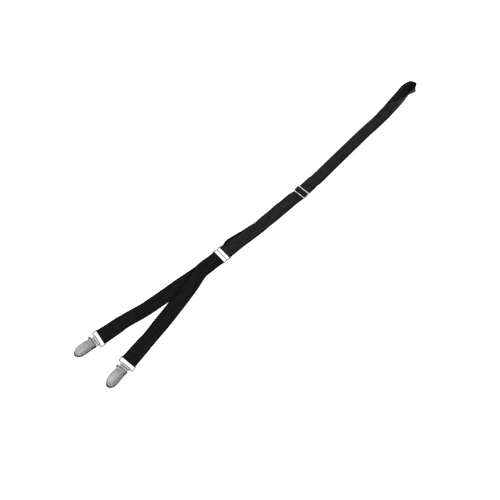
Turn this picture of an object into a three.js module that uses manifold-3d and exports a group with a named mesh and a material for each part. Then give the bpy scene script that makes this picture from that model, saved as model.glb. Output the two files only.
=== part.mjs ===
// Shirt stay: a Y-shaped elastic strap with two sprung clips for the shirt hem,
// a figure-eight junction ring, a three-bar slider and a long stirrup loop for the foot.
// It lies on a flat surface as put down: clips at -X, foot loop at +X, +Z up, millimetres.
import * as THREE from 'three';
import { mergeVertices } from 'three/addons/utils/BufferGeometryUtils.js';
import Module from 'manifold-3d';

const wasm = await Module();
wasm.setup();

// Driving sizes of the straps
const STRAP_WIDTH = 18.6;
const STRAP_THICKNESS = 1.15;
const STRAP_GAP = 0.15;
const STEM_LENGTH = 31.5;
const LEFT_LEG_LENGTH = 138;
const RIGHT_LEG_LENGTH = 133;
const MAIN_LENGTH = 140;
const LOOP_LENGTH = 266.6;
const CLIP_TAB_LENGTH = 24;
const RING_TAB_LENGTH = 25;
const SLIDER_TAB_LENGTH = 18;
const LOOP_FOLD_RADIUS = 2.4;
const LOOP_FOLD_SETBACK = 2.2;
const LOOP_MOUTH_START = 20;
const LOOP_MOUTH_LENGTH = 12;
const LOOP_MOUTH_WIDTH = 18.6;
const LAYER_RUN_OFF = 2;
const LAYER_DROP = 8;

// Driving sizes of the wire hardware
const WIRE_DIAMETER = 1.5;
const SIDE_CLEARANCE = 0.3;
const RING_BAR_SPACING = 6.3;
const RING_NOTCH = 0.9;
const BAIL_LENGTH = 6.95;
const WIRE_CORNER = 1.3;

// Driving sizes of the clips
const SHEET = 0.7;
const BASE_WIDTH = 12.4;
const BASE_LENGTH = 25;
const BASE_CHAMFER_LENGTH = 4.2;
const BASE_CHAMFER_WIDTH = 3.2;
const PIN_DIAMETER = 1.6;
const PIN_HEIGHT = 3.6;
const PIN_SETBACK = 5.3;
const PIN_CLEARANCE = 0.1;
const EAR_RADIUS = 1.6;
const EAR_THICKNESS = 0.6;
const PIN_HEAD_RADIUS = 1.9;
const PIN_HEAD_THICKNESS = 1.2;
const LEVER_REACH = 21.4;
const LEVER_HALF_WIDTH = 6.8;
const LEVER_HEIGHT = 7;
const LEVER_WALL = 0.7;
const LEVER_RIM = 2.7;
const PAD_LENGTH = 20;
const PAD_HEIGHT = 2.3;
const PAD_NOSE = 1.7;
const PAD_TOOTH_PITCH = 1.1;
const PAD_TOOTH_HEIGHT = 0.5;
const FIT_GAP = 0.3;

// Places worked out from the driving sizes
const wireRadius = WIRE_DIAMETER / 2;
const halfStrap = STRAP_THICKNESS / 2;
const layerStep = STRAP_THICKNESS + STRAP_GAP;
const wrapRadius = wireRadius + STRAP_GAP + halfStrap;
const outerWrapRadius = wrapRadius + layerStep;
const sliderBarSpacing = outerWrapRadius + halfStrap + STRAP_GAP + wireRadius;
const hardwareHalfWidth = STRAP_WIDTH / 2 + SIDE_CLEARANCE + wireRadius;
const foldHeight = halfStrap + wrapRadius;
const stackHeight = halfStrap + layerStep;
const barrelRadius = wireRadius + STRAP_GAP + SHEET;

// Plan layout: places of the clip ends, as offsets from the bend in the legs.
// turn is the clip's direction in degrees, side its sideways place in strap widths.
const legEnds = {
  left: { side: 1.265, turn: -7.5 },
  right: { side: -1.14, turn: 8 },
};
const stemSide = 0.14;
const ringTurn = -3;
const sliderTurn = 0.5;
const sliderSide = -0.495;

// Legs: along is the share of the leg from the bend to the clip, bow in strap widths
const legRows = {
  left: [
    { along: 0, bow: 0, width: 1.02 },
    { along: 0.22, bow: -0.015, width: 1.01 },
    { along: 0.43, bow: -0.06, width: 0.99 },
    { along: 0.6, bow: -0.07, width: 0.98 },
    { along: 0.8, bow: -0.035, width: 0.97 },
  ],
  right: [
    { along: 0, bow: 0, width: 1.02 },
    { along: 0.2, bow: -0.09, width: 1.03 },
    { along: 0.42, bow: -0.115, width: 1.04 },
    { along: 0.56, bow: -0.09, width: 1.05 },
    { along: 0.8, bow: -0.03, width: 1.03 },
  ],
};

// Main run from ring to slider: side in strap widths, lift in strap thicknesses,
// roll in degrees with the far edge up, width as a share of the strap width
const mainRows = [
  { along: 0.12, side: 0.02, lift: 0, roll: 3, width: 1.12 },
  { along: 0.19, side: -0.06, lift: 0, roll: 5, width: 1.09 },
  { along: 0.27, side: -0.13, lift: 0.2, roll: 2, width: 1.04 },
  { along: 0.35, side: -0.21, lift: 0.5, roll: 5, width: 0.99 },
  { along: 0.44, side: -0.275, lift: 0.2, roll: 0.5, width: 0.95 },
  { along: 0.53, side: -0.315, lift: 0.7, roll: 3.5, width: 0.955 },
  { along: 0.62, side: -0.335, lift: 0.3, roll: 1, width: 0.98 },
  { along: 0.71, side: -0.365, lift: 0.8, roll: 4, width: 0.98 },
  { along: 0.8, side: -0.385, lift: 0.3, roll: 0.5, width: 0.98 },
  { along: 0.9, side: -0.41, lift: 0.2, roll: 1, width: 0.98 },
];

// Foot loop from slider to its end. The lower layer's far edge lifts, the upper layer
// stands up on edge. lower and upper are their rolls in degrees.
const loopRows = [
  { along: 0.11, side: -0.495, lower: 0, upper: 0, width: 0.92 },
  { along: 0.25, side: -0.435, lower: 0, upper: 0.5, width: 0.92 },
  { along: 0.4, side: -0.36, lower: 0, upper: 0.5, width: 0.925 },
  { along: 0.55, side: -0.305, lower: 0, upper: 1, width: 0.925 },
  { along: 0.64, side: -0.31, lower: 0.5, upper: 2, width: 0.92 },
  { along: 0.68, side: -0.3, lower: 1, upper: 5, width: 0.92 },
  { along: 0.72, side: -0.275, lower: 4, upper: 26, width: 0.93 },
  { along: 0.76, side: -0.225, lower: 10, upper: 58, width: 0.95 },
  { along: 0.8, side: -0.16, lower: 17, upper: 81, width: 0.96 },
  { along: 0.84, side: -0.1, lower: 24, upper: 93, width: 0.96 },
  { along: 0.88, side: -0.015, lower: 31, upper: 99, width: 0.96 },
  { along: 0.93, side: 0.135, lower: 41, upper: 107, width: 0.96 },
];
const loopFoldSide = -0.46;
const loopMouthSide = -0.16;

// Sections of the clip lever from the hinge to the tip: reach from the hinge as a share,
// half width, height of the crown and height of the rim above the floor as shares
const leverSections = [
  { reach: 0, half: 0.765, top: 0.74, rim: 1.35 },
  { reach: 0.07, half: 0.77, top: 0.82, rim: 1.1 },
  { reach: 0.13, half: 0.89, top: 0.88, rim: 1.0 },
  { reach: 0.25, half: 0.96, top: 0.95, rim: 1.0 },
  { reach: 0.42, half: 1.0, top: 1.0, rim: 1.0 },
  { reach: 0.57, half: 1.0, top: 1.0, rim: 1.0 },
  { reach: 0.7, half: 0.96, top: 0.97, rim: 1.0 },
  { reach: 0.81, half: 0.87, top: 0.9, rim: 1.06 },
  { reach: 0.9, half: 0.73, top: 0.82, rim: 1.15 },
  { reach: 0.96, half: 0.55, top: 0.75, rim: 1.2 },
  { reach: 1, half: 0.34, top: 0.7, rim: 1.22 },
];

const elastic = { color: 0x1c1c1e, roughness: 0.92, metalness: 0 };
const nickel = { color: 0xd9dadc, roughness: 0.18, metalness: 1 };
const satin = { color: 0xb9babc, roughness: 0.38, metalness: 1 };
const blackened = { color: 0x17171a, roughness: 0.4, metalness: 0.6 };
const blackPlastic = { color: 0x101011, roughness: 0.55, metalness: 0 };

function radians(degrees) {
  return THREE.MathUtils.degToRad(degrees);
}

function namedMesh(name, geometry, finish) {
  const mesh = new THREE.Mesh(geometry, new THREE.MeshStandardMaterial(finish));
  mesh.name = name;
  return mesh;
}

function toSolid(geometry) {
  const plain = geometry.clone();
  plain.deleteAttribute('normal');
  plain.deleteAttribute('uv');
  const welded = mergeVertices(plain, 1e-4);
  const vertProperties = new Float32Array(welded.attributes.position.array);
  const triVerts = new Uint32Array(welded.index.array);
  return new wasm.Manifold(new wasm.Mesh({ numProp: 3, vertProperties, triVerts }));
}

function toGeometry(body) {
  const mesh = body.getMesh();
  const geometry = new THREE.BufferGeometry();
  geometry.setAttribute('position', new THREE.BufferAttribute(new Float32Array(mesh.vertProperties), 3));
  geometry.setIndex(new THREE.BufferAttribute(new Uint32Array(mesh.triVerts), 1));
  return geometry;
}

function indexedGeometry(positions, indices) {
  const geometry = new THREE.BufferGeometry();
  geometry.setAttribute('position', new THREE.Float32BufferAttribute(positions, 3));
  geometry.setIndex(indices);
  return geometry;
}

// A closed body through rings of equal point count, capped at both ends or joined round
function skinRings(rings, closed) {
  const count = rings[0].length;
  const positions = rings.flat().flatMap((p) => [p.x, p.y, p.z]);
  const indices = [];
  const spans = closed ? rings.length : rings.length - 1;
  for (let i = 0; i < spans; i += 1) {
    const a = i * count;
    const b = ((i + 1) % rings.length) * count;
    for (let k = 0; k < count; k += 1) {
      const next = (k + 1) % count;
      indices.push(a + k, a + next, b + next);
      indices.push(a + k, b + next, b + k);
    }
  }
  if (!closed) {
    const last = (rings.length - 1) * count;
    const half = count / 2;
    for (let k = 0; k < half - 1; k += 1) {
      const top = count - 1 - k;
      indices.push(k, top - 1, k + 1);
      indices.push(k, top, top - 1);
      indices.push(last + k, last + k + 1, last + top - 1);
      indices.push(last + k, last + top - 1, last + top);
    }
  }
  return indexedGeometry(positions, indices);
}

// Where the points lie across a strap: two edges, two points just inside, two in the field
const edgeShare = 0.03;
const acrossShares = [0, edgeShare, 0.34, 0.66, 1 - edgeShare, 1];
const edgeThinning = 0.55;

// Strap rows hold mid-surface points and unit normals across the width
function strapBody(rows) {
  const rings = rows.map((row) => {
    const last = row.points.length - 1;
    const offsets = row.points.map((point, k) => {
      const thin = k === 0 || k === last ? edgeThinning : 1;
      return row.normals[k].clone().multiplyScalar(halfStrap * thin);
    });
    const lower = row.points.map((point, k) => point.clone().sub(offsets[k]));
    const upper = row.points.map((point, k) => point.clone().add(offsets[k]));
    return [...lower, ...upper.reverse()];
  });
  return skinRings(rings, false);
}

// A row of a strap lying along the floor, rolled about its near edge.
// facing is 1 where the strap travels towards +X and -1 where it comes back.
// An upper layer starts one step off the near edge of the layer below.
function laidRow(station, roll, facing, isUpper) {
  const across = new THREE.Vector3(-Math.sin(station.heading), Math.cos(station.heading), 0);
  const up = new THREE.Vector3(0, 0, 1);
  const width = station.width * STRAP_WIDTH;
  const along = across.clone().multiplyScalar(Math.cos(radians(roll)));
  along.addScaledVector(up, Math.sin(radians(roll)));
  const leanOf = (degrees) => (
    across.clone().multiplyScalar(-Math.sin(radians(degrees))).addScaledVector(up, Math.cos(radians(degrees))));
  const seat = halfStrap * Math.cos(radians(station.lower));
  const edge = new THREE.Vector3(station.x, station.y, station.lift + seat);
  edge.addScaledVector(across, -width / 2);
  if (isUpper) {
    edge.addScaledVector(leanOf(station.lower), layerStep);
  }
  const normal = leanOf(roll).multiplyScalar(facing);
  const points = acrossShares.map((share) => edge.clone().addScaledVector(along, share * width));
  return { points, normals: points.map(() => normal.clone()) };
}

// Stations between knots: the side swings through them smoothly, the rest eases from knot to knot
function stationsThrough(knots, stepAt) {
  const curve = new THREE.CatmullRomCurve3(
    knots.map((knot) => new THREE.Vector3(knot.x, knot.y, 0)),
    false,
    'centripetal',
  );
  const stations = [];
  for (let i = 0; i < knots.length - 1; i += 1) {
    const from = knots[i];
    const to = knots[i + 1];
    const span = Math.hypot(to.x - from.x, to.y - from.y);
    const count = Math.max(1, Math.round(span / stepAt(from, to)));
    const lastSpan = i === knots.length - 2;
    for (let j = 0; j < count + (lastSpan ? 1 : 0); j += 1) {
      const share = j / count;
      const along = (i + share) / (knots.length - 1);
      const place = curve.getPoint(along);
      const tangent = curve.getTangent(along);
      const eased = THREE.MathUtils.smoothstep(share, 0, 1);
      const station = { x: place.x, y: place.y, heading: Math.atan2(tangent.y, tangent.x) };
      ['lift', 'lower', 'upper', 'width'].forEach((key) => {
        station[key] = THREE.MathUtils.lerp(from[key], to[key], eased);
      });
      stations.push(station);
    }
  }
  return stations;
}

function knot(values) {
  return { lift: 0, lower: 0, upper: 0, width: 1, ...values };
}

// An arc in the upright plane of a wrap, from one polar angle to another in degrees
function arcPath(centre, radius, fromAngle, toAngle, steps) {
  const sign = Math.sign(toAngle - fromAngle);
  return Array.from({ length: steps + 1 }, (unused, i) => {
    const angle = radians(fromAngle + ((toAngle - fromAngle) * i) / steps);
    return {
      x: centre.x + radius * Math.cos(angle),
      z: centre.z + radius * Math.sin(angle),
      nx: -sign * Math.cos(angle),
      nz: -sign * Math.sin(angle),
    };
  });
}

function wrapRows(place, path, widthShare) {
  const turn = radians(place.turn);
  const along = new THREE.Vector3(Math.cos(turn), Math.sin(turn), 0);
  const across = new THREE.Vector3(-Math.sin(turn), Math.cos(turn), 0);
  const up = new THREE.Vector3(0, 0, 1);
  return path.map((step) => {
    const normal = along.clone().multiplyScalar(step.nx).addScaledVector(up, step.nz);
    const centre = new THREE.Vector3(place.x, place.y, 0);
    centre.addScaledVector(along, step.x).addScaledVector(up, step.z);
    const points = acrossShares.map((share) => (
      centre.clone().addScaledVector(across, (share - 0.5) * widthShare * STRAP_WIDTH)));
    return { points, normals: points.map(() => normal.clone()) };
  });
}

function pointBeside(place, distance) {
  const turn = radians(place.turn);
  return { x: place.x + distance * Math.cos(turn), y: place.y + distance * Math.sin(turn) };
}

// Places of the bars that the straps fold round
const ringPlace = { x: 0, y: 0, turn: ringTurn };
const sliderPlace = { x: MAIN_LENGTH, y: sliderSide * STRAP_WIDTH, turn: sliderTurn };
const bendPlace = { x: -STEM_LENGTH, y: stemSide * STRAP_WIDTH };
const legLengths = { left: LEFT_LEG_LENGTH, right: RIGHT_LEG_LENGTH };

function bailBarPlace(side) {
  const end = legEnds[side];
  return {
    x: bendPlace.x - legLengths[side],
    y: end.side * STRAP_WIDTH,
    turn: end.turn,
  };
}

// Tilt of the slider: its far bar rides on the sewn end, its near bar on one layer
const nearBarHeight = foldHeight;
const farBarHeight = nearBarHeight + 2 * layerStep;
const sliderTilt = Math.asin((farBarHeight - nearBarHeight) / (2 * sliderBarSpacing));
const sliderHeight = (nearBarHeight + farBarHeight) / 2;
const sliderTiltDegrees = THREE.MathUtils.radToDeg(sliderTilt);
const sliderBars = {
  centre: { x: 0, z: sliderHeight },
  near: { x: -sliderBarSpacing * Math.cos(sliderTilt), z: nearBarHeight },
  far: { x: sliderBarSpacing * Math.cos(sliderTilt), z: farBarHeight },
};
const sliderWidthShare = 0.92;
const foldWidthShare = 1.0;
const ringWidthShare = 1.0;
const settledWidthShare = 1.08;

// The loop's sewn end comes back under the slider, goes round its centre bar
// and leaves on top of itself
function sewnWrap() {
  const { centre, far } = sliderBars;
  const tabRadius = wrapRadius + 2 * layerStep;
  const lean = THREE.MathUtils.radToDeg(Math.asin((tabRadius - wrapRadius) / sliderBarSpacing));
  const meet = 270 + sliderTiltDegrees - lean;
  return [
    { x: far.x + SLIDER_TAB_LENGTH, z: halfStrap, nx: 0, nz: -1 },
    { x: far.x + SLIDER_TAB_LENGTH / 2, z: halfStrap, nx: 0, nz: -1 },
    ...arcPath(far, tabRadius, 270, meet, 3),
    ...arcPath(centre, wrapRadius, meet, sliderTiltDegrees, 13),
    ...arcPath(far, outerWrapRadius, 180 + sliderTiltDegrees, 270, 5).slice(1),
  ];
}

// The running strap threads under one bar, over the sewn end and under the other bar
function threadedWrap() {
  const { centre, near, far } = sliderBars;
  return [
    ...arcPath(far, wrapRadius, 270, 180 + sliderTiltDegrees, 5),
    ...arcPath(centre, outerWrapRadius, sliderTiltDegrees, 180 + sliderTiltDegrees, 11).slice(1),
    ...arcPath(near, wrapRadius, sliderTiltDegrees, -90, 6).slice(1),
  ];
}

const flatStep = () => 11;
const waveStep = () => 5.5;
const loopStep = (from, to) => (to.upper > 5 ? 5.3 : 13);

// Two layers of the foot loop share one run of stations
function loopStations() {
  const start = pointBeside(sliderPlace, sliderBars.far.x);
  const tabEnd = pointBeside(sliderPlace, sliderBars.far.x + SLIDER_TAB_LENGTH + LAYER_RUN_OFF);
  const mouth = LOOP_LENGTH - LOOP_MOUTH_START;
  const asKnot = (row) => knot({
    ...row,
    x: sliderPlace.x + row.along * LOOP_LENGTH,
    y: row.side * STRAP_WIDTH,
  });
  return stationsThrough([
    knot({ ...start, lift: layerStep, width: sliderWidthShare }),
    knot({ ...tabEnd, lift: layerStep, width: sliderWidthShare }),
    ...loopRows.filter((row) => row.along * LOOP_LENGTH < mouth - 2).map(asKnot),
    asKnot(rowAt(loopRows, Math.min(mouth / LOOP_LENGTH, loopRows.at(-1).along))),
  ], loopStep);
}

// Points at even shares of the way along a path in plan
function evenlyAlong(path, count) {
  const runs = [0];
  for (let i = 1; i < path.length; i += 1) {
    runs.push(runs[i - 1] + Math.hypot(path[i].x - path[i - 1].x, path[i].y - path[i - 1].y));
  }
  return Array.from({ length: count + 1 }, (unused, i) => {
    const target = (runs.at(-1) * i) / count;
    const k = Math.min(path.length - 1, Math.max(1, runs.findIndex((run) => run >= target)));
    const share = (target - runs[k - 1]) / (runs[k] - runs[k - 1]);
    return path[k - 1].clone().lerp(path[k], share);
  });
}

// A path from one point through half an oval to another, each side easing into the oval
function hairpin(from, to, oval) {
  const easeSteps = 24;
  const turnSteps = 48;
  const floor = halfStrap * edgeThinning;
  const ease = (a, b, lift) => Array.from({ length: easeSteps }, (unused, i) => {
    const share = i / easeSteps;
    const eased = THREE.MathUtils.smoothstep(share, 0, 1);
    const y = THREE.MathUtils.lerp(a.y, b.y, eased);
    return new THREE.Vector3(THREE.MathUtils.lerp(a.x, b.x, share), y, THREE.MathUtils.lerp(a.z, lift, eased));
  });
  const turn = Array.from({ length: turnSteps + 1 }, (unused, i) => {
    const polar = Math.PI / 2 - (Math.PI * i) / turnSteps;
    const x = oval.x + oval.reach * Math.cos(polar);
    return new THREE.Vector3(x, oval.y + oval.half * Math.sin(polar), floor);
  });
  return [...ease(from, turn[0], floor), ...turn, ...ease(to, turn.at(-1), floor).reverse()];
}

// The end of the foot loop: a tight fold on the floor that opens upwards to a wide mouth.
// Straight rulings join even shares of the lower and upper edges.
function loopEndRows(lower, upper, width) {
  const reach = sliderPlace.x + LOOP_LENGTH - halfStrap;
  const fold = {
    x: reach - LOOP_FOLD_RADIUS,
    y: loopFoldSide * STRAP_WIDTH,
    reach: LOOP_FOLD_RADIUS,
    half: LOOP_FOLD_RADIUS,
  };
  const mouth = {
    x: reach - LOOP_FOLD_RADIUS - LOOP_FOLD_SETBACK - LOOP_MOUTH_LENGTH,
    y: loopMouthSide * STRAP_WIDTH,
    reach: LOOP_MOUTH_LENGTH,
    half: LOOP_MOUTH_WIDTH / 2,
  };
  const steps = 26;
  const low = evenlyAlong(hairpin(lower.points[0], upper.points[0], fold), steps);
  const high = evenlyAlong(hairpin(lower.points.at(-1), upper.points.at(-1), mouth), steps);
  const rulings = low.map((point, i) => {
    const rise = high[i].clone().sub(point).setZ(0);
    rise.setZ(Math.sqrt(Math.max(width * width - rise.lengthSq(), 1)));
    return rise.setLength(width);
  });
  const middles = low.map((point, i) => point.clone().addScaledVector(rulings[i], 0.5));
  return low.slice(1, -1).map((point, k) => {
    const i = k + 1;
    const tangent = middles[i + 1].clone().sub(middles[i - 1]);
    const normal = tangent.cross(rulings[i]).normalize();
    const points = acrossShares.map((share) => point.clone().addScaledVector(rulings[i], share));
    return { points, normals: points.map(() => normal.clone()) };
  });
}

// The values of a table at any share along it, read off between its rows
function rowAt(rows, along) {
  const after = Math.max(1, rows.findIndex((row) => row.along >= along));
  const to = rows[after];
  const from = rows[after - 1];
  const share = (along - from.along) / (to.along - from.along);
  const entries = Object.keys(to).map((key) => [key, THREE.MathUtils.lerp(from[key], to[key], share)]);
  return Object.fromEntries(entries);
}

function mainStations() {
  const ringEnd = pointBeside(ringPlace, RING_BAR_SPACING);
  const settled = pointBeside(ringPlace, RING_BAR_SPACING + 2 * wrapRadius + 4);
  const sliderEnd = pointBeside(sliderPlace, sliderBars.near.x);
  const overTab = RING_BAR_SPACING + RING_TAB_LENGTH + LAYER_RUN_OFF;
  const offTab = overTab + LAYER_DROP;
  const asKnot = (row) => knot({
    x: row.along * MAIN_LENGTH,
    y: row.side * STRAP_WIDTH,
    lift: row.lift * STRAP_THICKNESS + (row.along * MAIN_LENGTH < offTab - 1 ? layerStep : 0),
    lower: row.roll,
    width: row.width,
  });
  const rows = mainRows.map(asKnot);
  return stationsThrough([
    knot({ ...ringEnd, lift: 2 * wrapRadius, width: ringWidthShare }),
    knot({ ...settled, lift: layerStep, width: settledWidthShare }),
    ...rows.filter((row) => row.x > settled.x + 1 && row.x < overTab - 3),
    asKnot({ ...rowAt(mainRows, overTab / MAIN_LENGTH), lift: 0 }),
    asKnot(rowAt(mainRows, offTab / MAIN_LENGTH)),
    ...rows.filter((row) => row.x > offTab + 3),
    knot({ ...sliderEnd, width: sliderWidthShare }),
  ], waveStep);
}

// One long elastic: sewn end at the slider, out and back round the foot loop,
// through the slider and round the far bar of the junction ring
function footStrap() {
  const stations = loopStations();
  const ringBar = { x: RING_BAR_SPACING, z: foldHeight };
  const lower = stations.slice(1).map((station) => laidRow(station, station.lower, 1, false));
  const upper = stations.slice(1).map((station) => laidRow(station, station.upper, -1, true));
  const main = mainStations().slice(1, -1).reverse().map((station) => laidRow(station, station.lower, -1, false));
  const ringTab = [
    { x: RING_BAR_SPACING + RING_TAB_LENGTH / 2, z: halfStrap, nx: 0, nz: 1 },
    { x: RING_BAR_SPACING + RING_TAB_LENGTH, z: halfStrap, nx: 0, nz: 1 },
  ];
  const rows = [
    ...wrapRows(sliderPlace, sewnWrap(), sliderWidthShare),
    ...lower,
    ...loopEndRows(lower.at(-1), upper.at(-1), stations.at(-1).width * STRAP_WIDTH),
    ...upper.reverse(),
    ...wrapRows(sliderPlace, threadedWrap(), sliderWidthShare),
    ...main,
    ...wrapRows(ringPlace, [...arcPath(ringBar, wrapRadius, 90, 270, 10), ...ringTab], ringWidthShare),
  ];
  return namedMesh('foot_strap', strapBody(rows), elastic);
}

// Stations of one leg from its clip to the ring. The right leg lies on the left one
// as far as the fork, and both come to the near bar of the ring.
function legStations(side) {
  const bar = bailBarPlace(side);
  const upper = side === 'right';
  const topLift = upper ? layerStep : 0;
  const overTab = layerStep;
  const settle = pointBeside(bar, 9);
  const tabEnd = pointBeside(bar, CLIP_TAB_LENGTH);
  const offTab = pointBeside(bar, CLIP_TAB_LENGTH + 8);
  const span = { x: bar.x - bendPlace.x, y: bar.y - bendPlace.y };
  const forkShare = { left: 0.42, right: 0.43 };
  const rows = legRows[side].map((row) => knot({
    x: bendPlace.x + row.along * span.x,
    y: bendPlace.y + row.along * span.y + row.bow * STRAP_WIDTH,
    lift: row.along < forkShare[side] ? topLift : 0,
    width: row.width,
  })).reverse();
  const ringEnd = pointBeside(ringPlace, -RING_BAR_SPACING);
  const stemMid = pointBeside(ringPlace, -(RING_BAR_SPACING + 2 * wrapRadius + 5));
  const ends = [
    knot({ ...stemMid, y: stemMid.y + 0.03 * STRAP_WIDTH, lift: topLift, width: 1.01 }),
    knot({ ...ringEnd, lift: upper ? 2 * wrapRadius : 0, width: ringWidthShare }),
  ];
  return stationsThrough([
    knot({ x: bar.x, y: bar.y, lift: 2 * wrapRadius, width: foldWidthShare }),
    knot({ ...settle, lift: overTab, width: 1.04 }),
    knot({ ...tabEnd, lift: overTab, width: 1 }),
    knot({ ...offTab, lift: 0, width: 0.98 }),
    ...rows.filter((row) => row.x > offTab.x + 6),
    ...ends,
  ], flatStep);
}

// One elastic for both legs: folded round the ring's near bar and round each bail
function legStrap() {
  const ringBar = { x: -RING_BAR_SPACING, z: foldHeight };
  const bailBar = { x: 0, z: foldHeight };
  const tab = (normal) => [
    { x: CLIP_TAB_LENGTH, z: halfStrap, nx: 0, nz: normal },
    { x: CLIP_TAB_LENGTH / 2, z: halfStrap, nx: 0, nz: normal },
  ];
  const right = legStations('right').slice(1, -1).map((station) => laidRow(station, 0, 1, false));
  const left = legStations('left').slice(1, -1).reverse().map((station) => laidRow(station, 0, -1, false));
  const rows = [
    ...wrapRows(bailBarPlace('right'), [...tab(-1), ...arcPath(bailBar, wrapRadius, 270, 90, 10)], foldWidthShare),
    ...right,
    ...wrapRows(ringPlace, arcPath(ringBar, wrapRadius, 90, -90, 10), ringWidthShare),
    ...left,
    ...wrapRows(
      bailBarPlace('left'),
      [...arcPath(bailBar, wrapRadius, 90, 270, 10), ...tab(1).reverse()],
      foldWidthShare,
    ),
  ];
  return namedMesh('leg_strap', strapBody(rows), elastic);
}

// A closed wire of round section along a flat loop of points
function closedWire(loop, sides) {
  const rings = loop.map((point, i) => {
    const before = loop[(i + loop.length - 1) % loop.length];
    const after = loop[(i + 1) % loop.length];
    const outward = new THREE.Vector2(after.y - before.y, before.x - after.x).normalize();
    return Array.from({ length: sides }, (unused, k) => {
      const angle = (2 * Math.PI * (k + 0.5)) / sides;
      const reach = wireRadius * Math.cos(angle);
      return new THREE.Vector3(
        point.x + outward.x * reach,
        point.y + outward.y * reach,
        -wireRadius * Math.sin(angle),
      );
    });
  });
  return skinRings(rings, true);
}

const wireSides = 8;
const cornerSteps = 4;

function cornerPoints(centreX, centreY, fromAngle) {
  return Array.from({ length: cornerSteps + 1 }, (unused, i) => {
    const angle = radians(fromAngle + (90 * i) / cornerSteps);
    return new THREE.Vector2(
      centreX + WIRE_CORNER * Math.cos(angle),
      centreY + WIRE_CORNER * Math.sin(angle),
    );
  });
}

// Wire frame with a centre bar. A notch at each end parts the two lobes.
function threeBarWire(barSpacing, end, notch) {
  const inner = end - WIRE_CORNER;
  const notchHalf = (barSpacing - WIRE_CORNER) * 0.7;
  const notchSteps = 6;
  const dip = Array.from({ length: notchSteps + 1 }, (unused, i) => {
    const x = notchHalf * (1 - (2 * i) / notchSteps);
    return new THREE.Vector2(x, end - (notch * (1 + Math.cos((Math.PI * x) / notchHalf))) / 2);
  });
  const loop = [
    ...cornerPoints(barSpacing - WIRE_CORNER, inner, 0),
    ...dip,
    ...cornerPoints(WIRE_CORNER - barSpacing, inner, 90),
    ...cornerPoints(WIRE_CORNER - barSpacing, -inner, 180),
    ...dip.map((point) => point.clone().negate()),
    ...cornerPoints(barSpacing - WIRE_CORNER, -inner, 270),
  ];
  const bar = new THREE.CylinderGeometry(wireRadius, wireRadius, 2 * (end - notch), wireSides);
  bar.rotateY(Math.PI / wireSides);
  return toGeometry(toSolid(closedWire(loop, wireSides)).add(toSolid(bar)));
}

function junctionRing() {
  const ring = namedMesh('junction_ring', threeBarWire(RING_BAR_SPACING, hardwareHalfWidth, RING_NOTCH), nickel);
  ring.position.set(ringPlace.x, ringPlace.y, foldHeight);
  ring.rotation.z = radians(ringPlace.turn);
  return ring;
}

function slider() {
  const sliderHalfWidth = (sliderWidthShare * STRAP_WIDTH) / 2 + SIDE_CLEARANCE + wireRadius;
  const body = namedMesh('slider', threeBarWire(sliderBarSpacing, sliderHalfWidth, 0), nickel);
  body.rotation.y = -sliderTilt;
  const place = new THREE.Group();
  place.position.set(sliderPlace.x, sliderPlace.y, sliderHeight);
  place.rotation.z = radians(sliderPlace.turn);
  place.add(body);
  return place;
}

// Clip parts share a local frame: x from the barrel to the tip, y across, z up from the floor
const bailRise = foldHeight - barrelRadius;
const bailPlanLength = Math.sqrt(BAIL_LENGTH ** 2 - bailRise ** 2);
const baseHalf = BASE_WIDTH / 2;
const earInside = baseHalf - EAR_THICKNESS;
const hinge = { x: PIN_SETBACK, z: PIN_HEIGHT };
const pinRadius = PIN_DIAMETER / 2;
const roundSides = 16;

function bail(side) {
  const inner = hardwareHalfWidth - WIRE_CORNER;
  const farCorner = -BAIL_LENGTH + WIRE_CORNER;
  const loop = [
    ...cornerPoints(-WIRE_CORNER, inner, 0),
    ...cornerPoints(farCorner, inner, 90),
    ...cornerPoints(farCorner, -inner, 180),
    ...cornerPoints(-WIRE_CORNER, -inner, 270),
  ];
  const mesh = namedMesh(`bail_${side}`, closedWire(loop, wireSides), nickel);
  mesh.position.z = barrelRadius;
  mesh.rotation.y = Math.asin(bailRise / BAIL_LENGTH);
  return mesh;
}

// Extrudes a shape drawn in the upright x and z plane across the clip, centred on it
function acrossClip(shape, from, to, curveSegments) {
  const geometry = new THREE.ExtrudeGeometry(shape, {
    depth: to - from, bevelEnabled: false, curveSegments,
  });
  geometry.rotateX(Math.PI / 2);
  geometry.translate(0, to, 0);
  return geometry;
}

function flatPlate(shape, from, to) {
  const geometry = new THREE.ExtrudeGeometry(shape, {
    depth: to - from, bevelEnabled: false, curveSegments: 10,
  });
  geometry.translate(0, 0, from);
  return geometry;
}

function basePlan(margin) {
  const end = BASE_LENGTH + margin;
  const half = baseHalf + margin;
  const shape = new THREE.Shape();
  shape.moveTo(-margin, -half);
  shape.lineTo(end - BASE_CHAMFER_LENGTH, -half);
  shape.lineTo(end, -half + BASE_CHAMFER_WIDTH);
  shape.lineTo(end, half - BASE_CHAMFER_WIDTH);
  shape.lineTo(end - BASE_CHAMFER_LENGTH, half);
  shape.lineTo(-margin, half);
  shape.closePath();
  return shape;
}

function barrelShape() {
  const outer = barrelRadius;
  const inner = barrelRadius - SHEET;
  const mouth = radians(-20);
  const shape = new THREE.Shape();
  shape.moveTo(SHEET, 0);
  shape.lineTo(0, 0);
  shape.absarc(0, outer, outer, radians(270), mouth, true);
  shape.absarc(0, outer, inner, mouth, radians(270), false);
  shape.lineTo(SHEET, SHEET);
  shape.closePath();
  return shape;
}

function earShape() {
  const shape = new THREE.Shape();
  shape.moveTo(hinge.x - EAR_RADIUS, SHEET / 2);
  shape.lineTo(hinge.x + EAR_RADIUS, SHEET / 2);
  shape.absarc(hinge.x, hinge.z, EAR_RADIUS, 0, Math.PI, false);
  shape.closePath();
  const hole = new THREE.Path();
  hole.absarc(hinge.x, hinge.z, pinRadius + PIN_CLEARANCE / 2, 0, 2 * Math.PI, true);
  shape.holes.push(hole);
  return shape;
}

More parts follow.
